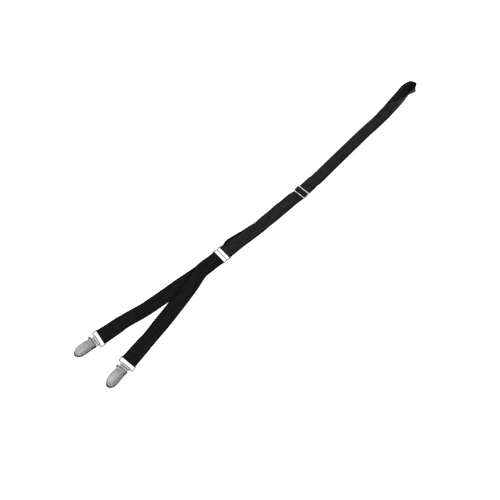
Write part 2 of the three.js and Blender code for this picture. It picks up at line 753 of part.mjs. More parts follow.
// Stamped base: barrel curled round the bail, flat jaw with chamfered corners
// and two upright ears for the hinge pin
function clipBase(side) {
  let body = toSolid(flatPlate(basePlan(0), 0, SHEET));
  body = body.add(toSolid(acrossClip(barrelShape(), -baseHalf, baseHalf, 8)));
  [[-baseHalf, -earInside], [earInside, baseHalf]].forEach(([from, to]) => {
    body = body.add(toSolid(acrossClip(earShape(), from, to, roundSides / 2)));
  });
  return namedMesh(`clip_base_${side}`, toGeometry(body), satin);
}

const tipReach = hinge.x + LEVER_REACH;
const padEnd = tipReach + PAD_NOSE;
const padStart = padEnd - PAD_LENGTH;
const padHalf = baseHalf;

function padPlan() {
  const noseLength = PAD_LENGTH * 0.42;
  const noseStart = padEnd - noseLength;
  const shape = new THREE.Shape();
  shape.moveTo(padStart, -padHalf);
  shape.lineTo(noseStart, -padHalf);
  shape.absellipse(noseStart, 0, noseLength, padHalf, -Math.PI / 2, Math.PI / 2, false);
  shape.lineTo(padStart, padHalf);
  shape.closePath();
  return shape;
}

// Moulded pad on the base jaw: its round nose shows past the plate, teeth run across it
function jawPad(side) {
  const plate = toSolid(flatPlate(basePlan(STRAP_GAP), -1, SHEET + STRAP_GAP));
  let pad = toSolid(flatPlate(padPlan(), STRAP_GAP, PAD_HEIGHT)).subtract(plate);
  const toothHalf = padHalf * 0.62;
  const teeth = Math.floor((PAD_LENGTH * 0.62) / PAD_TOOTH_PITCH);
  for (let i = 0; i < teeth; i += 1) {
    const x = padEnd - 2 - i * PAD_TOOTH_PITCH;
    const tooth = new THREE.Shape();
    tooth.moveTo(x - PAD_TOOTH_PITCH * 0.45, PAD_HEIGHT - 0.2);
    tooth.lineTo(x + PAD_TOOTH_PITCH * 0.45, PAD_HEIGHT - 0.2);
    tooth.lineTo(x, PAD_HEIGHT + PAD_TOOTH_HEIGHT);
    tooth.closePath();
    pad = pad.add(toSolid(acrossClip(tooth, -toothHalf, toothHalf, 1)));
  }
  return namedMesh(`jaw_pad_${side}`, toGeometry(pad), blackPlastic);
}

// Headed pin through both ears
function hingePin(side) {
  const headInside = baseHalf + PIN_CLEARANCE;
  const headOutside = headInside + PIN_HEAD_THICKNESS;
  const profile = [
    new THREE.Vector2(0, -headOutside),
    new THREE.Vector2(PIN_HEAD_RADIUS * 0.7, -headOutside),
    new THREE.Vector2(PIN_HEAD_RADIUS, -headInside - PIN_HEAD_THICKNESS * 0.4),
    new THREE.Vector2(PIN_HEAD_RADIUS, -headInside),
    new THREE.Vector2(pinRadius, -headInside),
    new THREE.Vector2(pinRadius, headInside),
    new THREE.Vector2(PIN_HEAD_RADIUS, headInside),
    new THREE.Vector2(PIN_HEAD_RADIUS, headInside + PIN_HEAD_THICKNESS * 0.4),
    new THREE.Vector2(PIN_HEAD_RADIUS * 0.7, headOutside),
    new THREE.Vector2(0, headOutside),
  ];
  const mesh = namedMesh(`hinge_pin_${side}`, new THREE.LatheGeometry(profile, roundSides), blackened);
  mesh.position.set(hinge.x, 0, hinge.z);
  return mesh;
}

// One cross-section of the lever: skirt, rounded shoulder and lightly crowned top
function leverRing(section, inset, drop) {
  const x = hinge.x + section.reach * LEVER_REACH;
  const half = Math.max(section.half * LEVER_HALF_WIDTH - inset, 0.2);
  const top = section.top * LEVER_HEIGHT - inset;
  const rim = section.rim * LEVER_RIM - drop;
  const shoulder = Math.min(1.7, half * 0.5);
  const side = [
    [half, rim],
    [half, Math.max(top - 1.9, rim + 0.3)],
    [half - shoulder * 0.3, Math.max(top - 0.95, rim + 0.5)],
    [half - shoulder, top - 0.35],
    [half * 0.3, top],
  ];
  const left = side.map(([y, z]) => new THREE.Vector3(x, -y, z));
  const right = side.map(([y, z]) => new THREE.Vector3(x, y, z)).reverse();
  return [...right.reverse(), ...left.reverse()];
}

function leverKnuckle() {
  const radius = EAR_RADIUS;
  const shape = new THREE.Shape();
  shape.absarc(hinge.x, hinge.z, radius, 0, 2 * Math.PI, false);
  const half = earInside - FIT_GAP;
  return acrossClip(shape, -half, half, roundSides);
}

// Sprung lever: a domed shell with a knuckle on the pin, closing on the pad at its tip
function lever(side) {
  const outer = toSolid(skinRings(leverSections.map((section) => leverRing(section, 0, 0)), false));
  const hollow = leverSections.map((section) => leverRing(section, LEVER_WALL, 2));
  const tipRing = hollow.at(-1);
  tipRing.forEach((point) => point.setX(point.x - LEVER_WALL));
  hollow.splice(-2, 1);
  const inner = toSolid(skinRings(hollow, false));
  const knuckle = toSolid(leverKnuckle());
  const boreShape = new THREE.Shape();
  boreShape.absarc(hinge.x, hinge.z, pinRadius + PIN_CLEARANCE, 0, 2 * Math.PI, false);
  const bore = toSolid(acrossClip(boreShape, -BASE_WIDTH, BASE_WIDTH, roundSides));
  const body = outer.subtract(inner).add(knuckle).subtract(bore);
  return namedMesh(`lever_${side}`, toGeometry(body), satin);
}

function clip(side) {
  const bar = bailBarPlace(side);
  const turn = radians(bar.turn);
  const group = new THREE.Group();
  group.position.set(
    bar.x - bailPlanLength * Math.cos(turn),
    bar.y - bailPlanLength * Math.sin(turn),
    0,
  );
  group.rotation.z = turn + Math.PI;
  const outwardBail = bail(side);
  group.add(outwardBail, clipBase(side), jawPad(side), hingePin(side), lever(side));
  return group;
}

const layout = new THREE.Group();
layout.add(footStrap(), legStrap(), junctionRing(), slider(), clip('left'), clip('right'));

// The origin goes to the middle of the footprint, on the floor
const bounds = new THREE.Box3().setFromObject(layout, true);
const middle = bounds.getCenter(new THREE.Vector3());
layout.position.set(-middle.x, -middle.y, -bounds.min.z);

const shirtStay = new THREE.Group();
shirtStay.add(layout);
shirtStay.updateMatrixWorld(true);

export default shirtStay;
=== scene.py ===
# Shirt stay laid on a pale floor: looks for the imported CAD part.
# Lengths in the tables are millimetres in the part's own layout frame, turned into metres at the end.
import bpy
import bmesh
import math
import numpy as np
from mathutils import Matrix, Vector


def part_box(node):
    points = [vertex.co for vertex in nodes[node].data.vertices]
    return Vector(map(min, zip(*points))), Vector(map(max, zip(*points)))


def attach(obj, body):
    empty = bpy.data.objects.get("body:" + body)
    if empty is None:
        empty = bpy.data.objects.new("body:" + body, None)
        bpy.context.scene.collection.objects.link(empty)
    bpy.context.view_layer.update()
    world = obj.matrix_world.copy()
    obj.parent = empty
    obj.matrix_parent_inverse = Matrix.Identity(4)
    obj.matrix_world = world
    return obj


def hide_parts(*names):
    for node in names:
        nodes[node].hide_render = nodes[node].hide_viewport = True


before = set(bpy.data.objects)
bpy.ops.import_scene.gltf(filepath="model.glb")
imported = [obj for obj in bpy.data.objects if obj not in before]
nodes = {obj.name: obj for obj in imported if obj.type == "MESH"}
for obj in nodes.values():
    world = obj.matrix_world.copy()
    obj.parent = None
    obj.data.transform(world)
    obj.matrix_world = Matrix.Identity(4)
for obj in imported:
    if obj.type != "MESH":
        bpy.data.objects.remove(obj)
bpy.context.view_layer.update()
mm = 0.001

ringLow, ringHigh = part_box("junction_ring")
ringMiddle = (ringLow + ringHigh) / 2
shift = np.array([ringMiddle.x, ringMiddle.y, 0.0])   # the ring's centre is the layout's origin


def linked(name, data):
    obj = bpy.data.objects.new(name, data)
    bpy.context.scene.collection.objects.link(obj)
    return obj


# Camera: the photo looks down at 64 degrees over the clips towards the loop
camera = {"place": (-141.7, -189.1, 494.8), "forward": (0.7127, 0.7015), "pitch": 64.0, "fov": 60.0}

def makeCamera(spec):
    pitch = math.radians(spec["pitch"])
    fx, fy = spec["forward"]
    forward = Vector((fx * math.cos(pitch), fy * math.cos(pitch), -math.sin(pitch))).normalized()
    right = forward.cross(Vector((0, 0, 1))).normalized()
    up = right.cross(forward)
    data = bpy.data.cameras.new("photo_camera")
    data.sensor_width = 36
    data.lens = 18 / math.tan(math.radians(spec["fov"]) / 2)
    data.clip_start = 0.01
    obj = linked("photo_camera", data)
    turn = Matrix((right, up, -forward)).transposed().to_4x4()
    place = Vector(spec["place"]) * mm + Vector(shift)
    obj.matrix_world = Matrix.Translation(place) @ turn
    bpy.context.scene.camera = obj


makeCamera(camera)
print("camera placed")


# Sizes as in the part's source, in mm
strap = {"width": 18.6, "thick": 1.15, "gap": 0.15, "edge": 0.5, "thinnest": 0.25}
hardware = {"wire": 1.5, "side": 0.3, "ringSpacing": 6.3, "notch": 0.9, "bail": 6.95, "corner": 1.3}
lengths = {"stem": 31.5, "left": 138.0, "right": 133.0, "main": 140.0, "loop": 266.6}
tabs = {"clip": 24.0, "ring": 25.0, "slider": 18.0}
loopEnd = {"fold": 2.4, "setback": 2.2, "mouthStart": 20.0, "mouth": 12.0, "mouthWidth": 18.6,
           "foldSide": -0.46, "mouthSide": -0.16, "thin": 0.55,
           "easeSteps": 24, "turnSteps": 48, "rulings": 72}
runOff = {"past": 2.0, "drop": 8.0}
sheet = 0.7

wireRadius = hardware["wire"] / 2
halfStrap = strap["thick"] / 2
layerStep = strap["thick"] + strap["gap"]
wrapRadius = wireRadius + strap["gap"] + halfStrap
outerWrapRadius = wrapRadius + layerStep
sliderSpacing = outerWrapRadius + halfStrap + strap["gap"] + wireRadius
hardwareHalf = strap["width"] / 2 + hardware["side"] + wireRadius
foldHeight = halfStrap + wrapRadius
barrelRadius = wireRadius + strap["gap"] + sheet

legEnds = {"left": {"side": 1.265, "turn": -7.5}, "right": {"side": -1.14, "turn": 8.0}}
stemSide = 0.14
ringPlace = {"x": 0.0, "y": 0.0, "turn": -3.0}
sliderPlace = {"x": lengths["main"], "y": -0.495 * strap["width"], "turn": 0.5}
bend = {"x": -lengths["stem"], "y": stemSide * strap["width"]}
widths = {"slider": 0.92, "fold": 1.0, "ring": 1.0, "settled": 1.08}

# Legs: along, bow, width
legRows = {
    "left": [
        (0, 0, 1.02), (0.22, -0.015, 1.01), (0.43, -0.06, 0.99), (0.6, -0.07, 0.98), (0.8, -0.035, 0.97),
    ],
    "right": [
        (0, 0, 1.02), (0.2, -0.09, 1.03), (0.42, -0.115, 1.04), (0.56, -0.09, 1.05), (0.8, -0.03, 1.03),
    ],
}
# Main strap: along, side, lift, roll, width
mainRows = [
    (0.12, 0.02, 0, 3, 1.12), (0.19, -0.06, 0, 5, 1.09), (0.27, -0.13, 0.2, 2, 1.04),
    (0.35, -0.21, 0.5, 5, 0.99), (0.44, -0.275, 0.2, 0.5, 0.95), (0.53, -0.315, 0.7, 3.5, 0.955),
    (0.62, -0.335, 0.3, 1, 0.98), (0.71, -0.365, 0.8, 4, 0.98), (0.8, -0.385, 0.3, 0.5, 0.98),
    (0.9, -0.41, 0.2, 1, 0.98),
]
# Foot loop: along, side, roll of the lower and upper layer in degrees, width
loopRows = [
    (0.11, -0.495, 0, 0, 0.92), (0.25, -0.435, 0, 0.5, 0.92), (0.4, -0.36, 0, 0.5, 0.925),
    (0.55, -0.305, 0, 1, 0.925), (0.64, -0.31, 0.5, 2, 0.92), (0.68, -0.3, 1, 5, 0.92),
    (0.72, -0.275, 4, 26, 0.93), (0.76, -0.225, 10, 58, 0.95), (0.8, -0.16, 17, 81, 0.96),
    (0.84, -0.1, 24, 93, 0.96), (0.88, -0.015, 31, 99, 0.96), (0.93, 0.135, 41, 107, 0.96),
]


# Points across a strap: the selvages are rounded, the field is even
inner = np.linspace(0.045, 0.955, 15)
acrossShares = np.concatenate([[0, 0.004, 0.012, 0.026], inner, [0.974, 0.988, 0.996, 1]])

def thicknessAt(share, width):
    depth = min(share, 1 - share) * width
    if depth >= strap["edge"]:
        return halfStrap
    return halfStrap * max(strap["thinnest"], math.sqrt(1 - (1 - depth / strap["edge"]) ** 2))


def smooth(share):
    share = min(max(share, 0.0), 1.0)
    return share * share * (3 - 2 * share)


def knot(**values):
    made = {"lift": 0.0, "lower": 0.0, "upper": 0.0, "width": 1.0}
    made.update(values)
    return made


# A row lying on the floor, rolled about its near edge; an upper layer starts one step off the lower one
def laidRow(station, roll, facing, isUpper=False):
    heading = station["heading"]
    across = np.array([-math.sin(heading), math.cos(heading), 0])
    up = np.array([0, 0, 1.0])
    width = station["width"] * strap["width"]
    leanOf = lambda angle: up * math.cos(math.radians(angle)) - across * math.sin(math.radians(angle))
    rise = across * math.cos(math.radians(roll)) + up * math.sin(math.radians(roll))
    seat = halfStrap * math.cos(math.radians(station["lower"]))
    edge = np.array([station["x"], station["y"], station["lift"] + seat]) - across * width / 2
    if isUpper:
        edge = edge + leanOf(station["lower"]) * layerStep
    points = edge + acrossShares[:, None] * rise * width
    return {"points": points, "normals": np.tile(leanOf(roll) * facing, (len(points), 1)), "width": width}


# Centripetal spline through the knots, as the part's source draws it
def splineAt(points, along):
    spans = len(points) - 1
    at = min(int(along * spans), spans - 1)
    weight = along * spans - at
    p1, p2 = points[at], points[at + 1]
    p0 = points[at - 1] if at > 0 else 2 * points[0] - points[1]
    p3 = points[at + 2] if at + 2 <= spans else 2 * points[spans] - points[spans - 1]
    d0, d1, d2 = [np.sum((b - a) ** 2) ** 0.25 for a, b in ((p0, p1), (p1, p2), (p2, p3))]
    t1 = ((p1 - p0) / d0 - (p2 - p0) / (d0 + d1) + (p2 - p1) / d1) * d1
    t2 = ((p2 - p1) / d1 - (p3 - p1) / (d1 + d2) + (p3 - p2) / d2) * d1
    cube, square = 2 * p1 - 2 * p2 + t1 + t2, -3 * p1 + 3 * p2 - 2 * t1 - t2
    return p1 + t1 * weight + square * weight ** 2 + cube * weight ** 3


def stationsThrough(knots, stepAt):
    points = [np.array([k["x"], k["y"]]) for k in knots]
    stations = []
    for i in range(len(knots) - 1):
        a, b = knots[i], knots[i + 1]
        span = math.hypot(b["x"] - a["x"], b["y"] - a["y"])
        count = max(1, round(span / stepAt(a, b)))
        for j in range(count + (1 if i == len(knots) - 2 else 0)):
            share = j / count
            along = min((i + share) / (len(knots) - 1), 1.0)
            ahead, behind = min(along + 1e-4, 1.0), max(along - 1e-4, 0.0)
            tangent = splineAt(points, ahead) - splineAt(points, behind)
            place = splineAt(points, along)
            station = {"x": place[0], "y": place[1], "heading": math.atan2(tangent[1], tangent[0])}
            for key in ("lift", "lower", "upper", "width"):
                station[key] = a[key] + (b[key] - a[key]) * smooth(share)
            stations.append(station)
    return stations


def arcPath(centre, radius, start, end, steps):
    sign = 1 if end > start else -1
    path = []
    for i in range(steps + 1):
        angle = math.radians(start + (end - start) * i / steps)
        c, s = math.cos(angle), math.sin(angle)
        path.append((centre[0] + radius * c, centre[1] + radius * s, -sign * c, -sign * s))
    return path


def straightPath(x0, x1, z, normal, steps):
    return [(x0 + (x1 - x0) * i / steps, z, 0, normal) for i in range(steps + 1)]


def wrapRows(place, path, share):
    turn = math.radians(place["turn"])
    along = np.array([math.cos(turn), math.sin(turn), 0])
    across = np.array([-math.sin(turn), math.cos(turn), 0])
    up = np.array([0, 0, 1.0])
    width = share * strap["width"]
    rows = []
    for x, z, nx, nz in path:
        centre = np.array([place["x"], place["y"], 0]) + along * x + up * z
        points = np.array([centre + across * (s - 0.5) * width for s in acrossShares])
        normal = along * nx + up * nz
        rows.append({"points": points, "normals": np.tile(normal, (len(points), 1)), "width": width})
    return rows


def beside(place, distance):
    turn = math.radians(place["turn"])
    return {"x": place["x"] + distance * math.cos(turn), "y": place["y"] + distance * math.sin(turn)}


def bailBarPlace(side):
    end = legEnds[side]
    return {"x": bend["x"] - lengths[side], "y": end["side"] * strap["width"], "turn": end["turn"]}


# Slider: its bars tilt up towards the loop, over the sewn end
nearBar = foldHeight
farBar = nearBar + 2 * layerStep
tilt = math.asin((farBar - nearBar) / (2 * sliderSpacing))
tiltDegrees = math.degrees(tilt)
bars = {
    "centre": (0.0, (nearBar + farBar) / 2),
    "near": (-sliderSpacing * math.cos(tilt), nearBar),
    "far": (sliderSpacing * math.cos(tilt), farBar),
}

# Steps of the wraps round the slider's bars, and where the sewn end starts past the far bar
sliderWraps = {"tabStart": 1.0, "tab": 12, "meet": 6, "round": 40, "back": 14,
               "in": 12, "over": 30, "out": 16}

def sewnWrap():
    tabRadius = wrapRadius + 2 * layerStep
    meet = 270 + tiltDegrees - math.degrees(math.asin((tabRadius - wrapRadius) / sliderSpacing))
    x = bars["far"][0]
    steps = sliderWraps
    return (straightPath(x + tabs["slider"], x + steps["tabStart"], halfStrap, -1, steps["tab"])
            + arcPath(bars["far"], tabRadius, 270, meet, steps["meet"])
            + arcPath(bars["centre"], wrapRadius, meet, tiltDegrees, steps["round"])
            + arcPath(bars["far"], outerWrapRadius, 180 + tiltDegrees, 270, steps["back"])[1:])


def threadedWrap():
    steps = sliderWraps
    return (arcPath(bars["far"], wrapRadius, 270, 180 + tiltDegrees, steps["in"])
            + arcPath(bars["centre"], outerWrapRadius, tiltDegrees, 180 + tiltDegrees, steps["over"])[1:]
            + arcPath(bars["near"], wrapRadius, tiltDegrees, -90, steps["out"])[1:])


# Rows of the loop, closer together where its upper layer has rolled past an angle
loopLaying = {"keepMouth": 2.0, "step": 3.0, "rolledStep": 1.2, "rolledFrom": 5.0}

def loopStations():
    start = beside(sliderPlace, bars["far"][0])
    tabEnd = beside(sliderPlace, bars["far"][0] + tabs["slider"] + runOff["past"])
    mouth = lengths["loop"] - loopEnd["mouthStart"]

    def asKnot(row):
        along, side, lower, upper, width = row
        return knot(x=sliderPlace["x"] + along * lengths["loop"], y=side * strap["width"],
                    lower=lower, upper=upper, width=width)

    knots = [knot(x=p["x"], y=p["y"], lift=layerStep, width=widths["slider"]) for p in (start, tabEnd)]
    knots += [asKnot(row) for row in loopRows if row[0] * lengths["loop"] < mouth - loopLaying["keepMouth"]]
    knots.append(asKnot(rowAt(loopRows, min(mouth / lengths["loop"], loopRows[-1][0]))))

    def stepAt(a, b):
        return loopLaying["rolledStep" if b["upper"] > loopLaying["rolledFrom"] else "step"]

    return stationsThrough(knots, stepAt)


# Points at even shares of the way along a path in plan
def evenlyAlong(path, count):
    path = np.array(path)
    runs = np.concatenate([[0], np.cumsum(np.hypot(*np.diff(path[:, :2], axis=0).T))])
    targets = np.linspace(0, runs[-1], count + 1)
    return np.array([np.interp(targets, runs, path[:, k]) for k in range(3)]).T


# A path through half an oval, each side easing into it
def hairpin(start, end, oval):
    floor = halfStrap * loopEnd["thin"]

    def ease(a, b):
        shares = [i / loopEnd["easeSteps"] for i in range(loopEnd["easeSteps"])]
        return [(a[0] + (b[0] - a[0]) * t, a[1] + (b[1] - a[1]) * smooth(t), a[2] + (b[2] - a[2]) * smooth(t))
                for t in shares]

    turn = []
    for i in range(loopEnd["turnSteps"] + 1):
        polar = math.pi / 2 - math.pi * i / loopEnd["turnSteps"]
        x, y = oval["reach"] * math.cos(polar), oval["half"] * math.sin(polar)
        turn.append((oval["x"] + x, oval["y"] + y, floor))
    return ease(start, turn[0]) + turn + ease(end, turn[-1])[::-1]


# The loop's end: a tight fold on the floor that opens upwards to a wide mouth, with straight rulings between
def loopEndRows(lower, upper, width):
    reach = sliderPlace["x"] + lengths["loop"] - halfStrap
    fold = {"x": reach - loopEnd["fold"], "y": loopEnd["foldSide"] * strap["width"],
            "reach": loopEnd["fold"], "half": loopEnd["fold"]}
    mouth = {"x": reach - loopEnd["fold"] - loopEnd["setback"] - loopEnd["mouth"],
             "y": loopEnd["mouthSide"] * strap["width"],
             "reach": loopEnd["mouth"], "half": loopEnd["mouthWidth"] / 2}
    steps = loopEnd["rulings"]
    low = evenlyAlong(hairpin(lower["points"][0], upper["points"][0], fold), steps)
    high = evenlyAlong(hairpin(lower["points"][-1], upper["points"][-1], mouth), steps)
    rulings = []
    for a, b in zip(low, high):
        rise = np.array([b[0] - a[0], b[1] - a[1], 0])
        rise[2] = math.sqrt(max(width * width - rise @ rise, 1))
        rulings.append(rise * width / np.linalg.norm(rise))
    middles = low + np.array(rulings) / 2
    rows = []
    for i in range(1, steps):
        normal = np.cross(middles[i + 1] - middles[i - 1], rulings[i])
        normal = normal / np.linalg.norm(normal)
        points = low[i] + acrossShares[:, None] * rulings[i]
        rows.append({"points": points, "normals": np.tile(normal, (len(points), 1)), "width": width})
    return rows


def rowAt(rows, along):
    after = next(i for i, row in enumerate(rows) if row[0] >= along)
    a, b = rows[max(after - 1, 0)], rows[max(after, 1)]
    share = (along - a[0]) / (b[0] - a[0])
    return tuple(p + (q - p) * share for p, q in zip(a, b))


# Main strap: where it settles past the ring's fold, and how far its knots keep from the sewn end
mainLaying = {"settle": 4.0, "lifted": 1.0, "keepSettled": 1.0, "keepTab": 3.0, "step": 1.6}

def mainStations():
    ringEnd = beside(ringPlace, hardware["ringSpacing"])
    settled = beside(ringPlace, hardware["ringSpacing"] + 2 * wrapRadius + mainLaying["settle"])
    sliderEnd = beside(sliderPlace, bars["near"][0])
    overTab = hardware["ringSpacing"] + tabs["ring"] + runOff["past"]
    offTab = overTab + runOff["drop"]

    def asKnot(row, flat=False):
        along, side, lift, roll, width = row
        x = along * lengths["main"]
        raised = 0 if flat else lift * strap["thick"]
        raised += layerStep if x < offTab - mainLaying["lifted"] else 0
        return knot(x=x, y=side * strap["width"], lift=raised, lower=roll, width=width)

    rows = [asKnot(row) for row in mainRows]
    knots = [knot(x=ringEnd["x"], y=ringEnd["y"], lift=2 * wrapRadius, width=widths["ring"]),
             knot(x=settled["x"], y=settled["y"], lift=layerStep, width=widths["settled"])]
    first, last = settled["x"] + mainLaying["keepSettled"], overTab - mainLaying["keepTab"]
    knots += [k for k in rows if first < k["x"] < last]
    knots += [asKnot(rowAt(mainRows, overTab / lengths["main"]), flat=True),
              asKnot(rowAt(mainRows, offTab / lengths["main"]))]
    knots += [k for k in rows if k["x"] > offTab + mainLaying["keepTab"]]
    knots.append(knot(x=sliderEnd["x"], y=sliderEnd["y"], width=widths["slider"]))
    return stationsThrough(knots, lambda a, b: mainLaying["step"])


# Legs: a leg settles past its clip's fold, drops off the sewn end and joins the other one at the fork
legLaying = {"settle": 9.0, "settledWidth": 1.04, "droppedWidth": 0.98, "keepTab": 6.0, "step": 2.0,
             "fork": {"left": 0.42, "right": 0.43}, "stemPast": 5.0, "stemSide": 0.03, "stemWidth": 1.01}

def legStations(side):
    bar = bailBarPlace(side)
    topLift = layerStep if side == "right" else 0.0
    distances = (legLaying["settle"], tabs["clip"], tabs["clip"] + runOff["drop"])
    settle, tabEnd, offTab = [beside(bar, distance) for distance in distances]
    spanX, spanY = bar["x"] - bend["x"], bar["y"] - bend["y"]
    fork = legLaying["fork"][side]
    rows = [knot(x=bend["x"] + along * spanX, y=bend["y"] + along * spanY + bow * strap["width"],
                 lift=topLift if along < fork else 0.0, width=width)
            for along, bow, width in reversed(legRows[side])]
    ringEnd = beside(ringPlace, -hardware["ringSpacing"])
    stemMid = beside(ringPlace, -(hardware["ringSpacing"] + 2 * wrapRadius + legLaying["stemPast"]))
    knots = [knot(x=bar["x"], y=bar["y"], lift=2 * wrapRadius, width=widths["fold"]),
             knot(x=settle["x"], y=settle["y"], lift=layerStep, width=legLaying["settledWidth"]),
             knot(x=tabEnd["x"], y=tabEnd["y"], lift=layerStep),
             knot(x=offTab["x"], y=offTab["y"], width=legLaying["droppedWidth"])]
    knots += [k for k in rows if k["x"] > offTab["x"] + legLaying["keepTab"]]
    knots += [knot(x=stemMid["x"], y=stemMid["y"] + legLaying["stemSide"] * strap["width"],
                   lift=topLift, width=legLaying["stemWidth"]),
              knot(x=ringEnd["x"], y=ringEnd["y"], lift=2 * wrapRadius if side == "right" else 0.0,
                   width=widths["ring"])]
    return stationsThrough(knots, lambda a, b: legLaying["step"])


# Folds round the ring and the bails, and the sewn ends that start past their bars
folds = {"steps": 28, "tabStart": 1.5, "tabSteps": 16}

def footStrapRows():
    stations = loopStations()
    ringBar = (hardware["ringSpacing"], foldHeight)
    lower = [laidRow(s, s["lower"], 1) for s in stations[1:]]
    upper = [laidRow(s, s["upper"], -1, True) for s in stations[1:]]
    rows = wrapRows(sliderPlace, sewnWrap(), widths["slider"])
    rows += lower + loopEndRows(lower[-1], upper[-1], lower[-1]["width"]) + upper[::-1]
    rows += wrapRows(sliderPlace, threadedWrap(), widths["slider"])
    rows += [laidRow(s, s["lower"], -1) for s in reversed(mainStations()[1:-1])]
    first, last = ringBar[0] + folds["tabStart"], ringBar[0] + tabs["ring"]
    fold = arcPath(ringBar, wrapRadius, 90, 270, folds["steps"])
    fold += straightPath(first, last, halfStrap, 1, folds["tabSteps"])
    return rows + wrapRows(ringPlace, fold, widths["ring"])


def legStrapRows():
    ringBar, bailBar = (-hardware["ringSpacing"], foldHeight), (0.0, foldHeight)
    steps = folds["steps"]
    tabIn = straightPath(tabs["clip"], folds["tabStart"], halfStrap, -1, folds["tabSteps"])
    tabOut = straightPath(folds["tabStart"], tabs["clip"], halfStrap, 1, folds["tabSteps"])
    foldIn = tabIn + arcPath(bailBar, wrapRadius, 270, 90, steps)
    foldOut = arcPath(bailBar, wrapRadius, 90, 270, steps) + tabOut
    rows = wrapRows(bailBarPlace("right"), foldIn, widths["fold"])
    rows += [laidRow(s, 0, 1) for s in legStations("right")[1:-1]]
    rows += wrapRows(ringPlace, arcPath(ringBar, wrapRadius, 90, -90, steps), widths["ring"])
    rows += [laidRow(s, 0, -1) for s in reversed(legStations("left")[1:-1])]
    return rows + wrapRows(bailBarPlace("left"), foldOut, widths["fold"])


# A strap's skin: a ring of points per row, with UV in millimetres across and along
def strapMesh(name, rows):
    count = len(acrossShares)
    loops, marks = [], []
    run = 0.0
    middle = count // 2
    for i, row in enumerate(rows):
        if i:
            run += float(np.linalg.norm(row["points"][middle] - rows[i - 1]["points"][middle]))
        half = np.array([thicknessAt(s, row["width"]) for s in acrossShares])[:, None]
        lower, upper = row["points"] - row["normals"] * half, row["points"] + row["normals"] * half
        loops.append(np.vstack([lower, upper[::-1]]))
        across = acrossShares * row["width"]
        marks.append([(u, run) for u in across] + [(u, run) for u in across[::-1]])
    size = 2 * count
    verts = (np.vstack(loops) + shift / mm) * mm
    uvs = [m for ring in marks for m in ring]
    faces = []
    for i in range(len(rows) - 1):
        a, b = i * size, (i + 1) * size
        faces += [(a + k, a + (k + 1) % size, b + (k + 1) % size, b + k) for k in range(size)]
    end = (len(rows) - 1) * size
    for k in range(count - 1):
        faces.append((size - 1 - k, size - 2 - k, k + 1, k))
        faces.append((end + k, end + k + 1, end + size - 2 - k, end + size - 1 - k))
    mesh = bpy.data.meshes.new(name)
    mesh.from_pydata([tuple(v) for v in verts], [], faces)
    layer = mesh.uv_layers.new(name="weave")
    corners = np.array([uvs[loop.vertex_index] for loop in mesh.loops], np.float32)
    layer.data.foreach_set("uv", corners.ravel())
    mesh.shade_smooth()
    return linked(name, mesh)


# sRGB hex to linear
def linear(code):
    parts = [int(code[i:i + 2], 16) / 255 for i in (0, 2, 4)]
    return tuple(c / 12.92 if c <= 0.04045 else ((c + 0.055) / 1.055) ** 2.4 for c in parts) + (1.0,)


def socket(node, name, value):
    node.inputs[name].default_value = value


# Adds nodes to one tree: an input is a value, or the output that feeds it
def nodeAdder(tree, prefix=""):
    def add(kind, settings=None, inputs=None):
        node = tree.nodes.new(prefix + kind)
        for key, value in (settings or {}).items():
            setattr(node, key, value)
        for key, value in (inputs or {}).items():
            if hasattr(value, "is_output"):
                tree.links.new(value, node.inputs[key])
            else:
                socket(node, key, value)
        return node

    return add


def newMaterial(name):
    material = bpy.data.materials.new(name)
    material.use_nodes = True
    tree = material.node_tree
    tree.nodes.clear()
    out = tree.nodes.new("ShaderNodeOutputMaterial")
    shader = tree.nodes.new("ShaderNodeBsdfPrincipled")
    tree.links.new(shader.outputs[0], out.inputs[0])

    def join(source, target):
        tree.links.new(source, shader.inputs[target])

    return material, shader, nodeAdder(tree, "ShaderNode"), join


def noiseOver(add, scale, detail, roughness=0.5):
    place = add("TexCoord").outputs["Object"]
    settings = {"Vector": place, "Scale": scale, "Detail": detail, "Roughness": roughness}
    return add("TexNoise", None, settings).outputs[0]


def ranged(add, value, low, high, first, last):
    return add("MapRange", None, {0: value, 1: low, 2: high, 3: first, 4: last}).outputs[0]


def blended(add, share, colours):
    first, second = [linear(code) for code in colours]
    return add("Mix", {"data_type": "RGBA"}, {0: share, 6: first, 7: second}).outputs[2]


def bumped(add, height, strength, distance):
    return add("Bump", None, {"Strength": strength, "Distance": distance, "Height": height}).outputs[0]


# Black elastic tape: fine ribs along it, crossed by the weft, with painted shade darkening both edges, in mm
# and shares
weave = {"rib": 0.95, "weft": 0.62, "cord": 2.9, "relief": 0.16, "edgeShadeFrom": 0.4, "edgeShadeTo": 0.455}

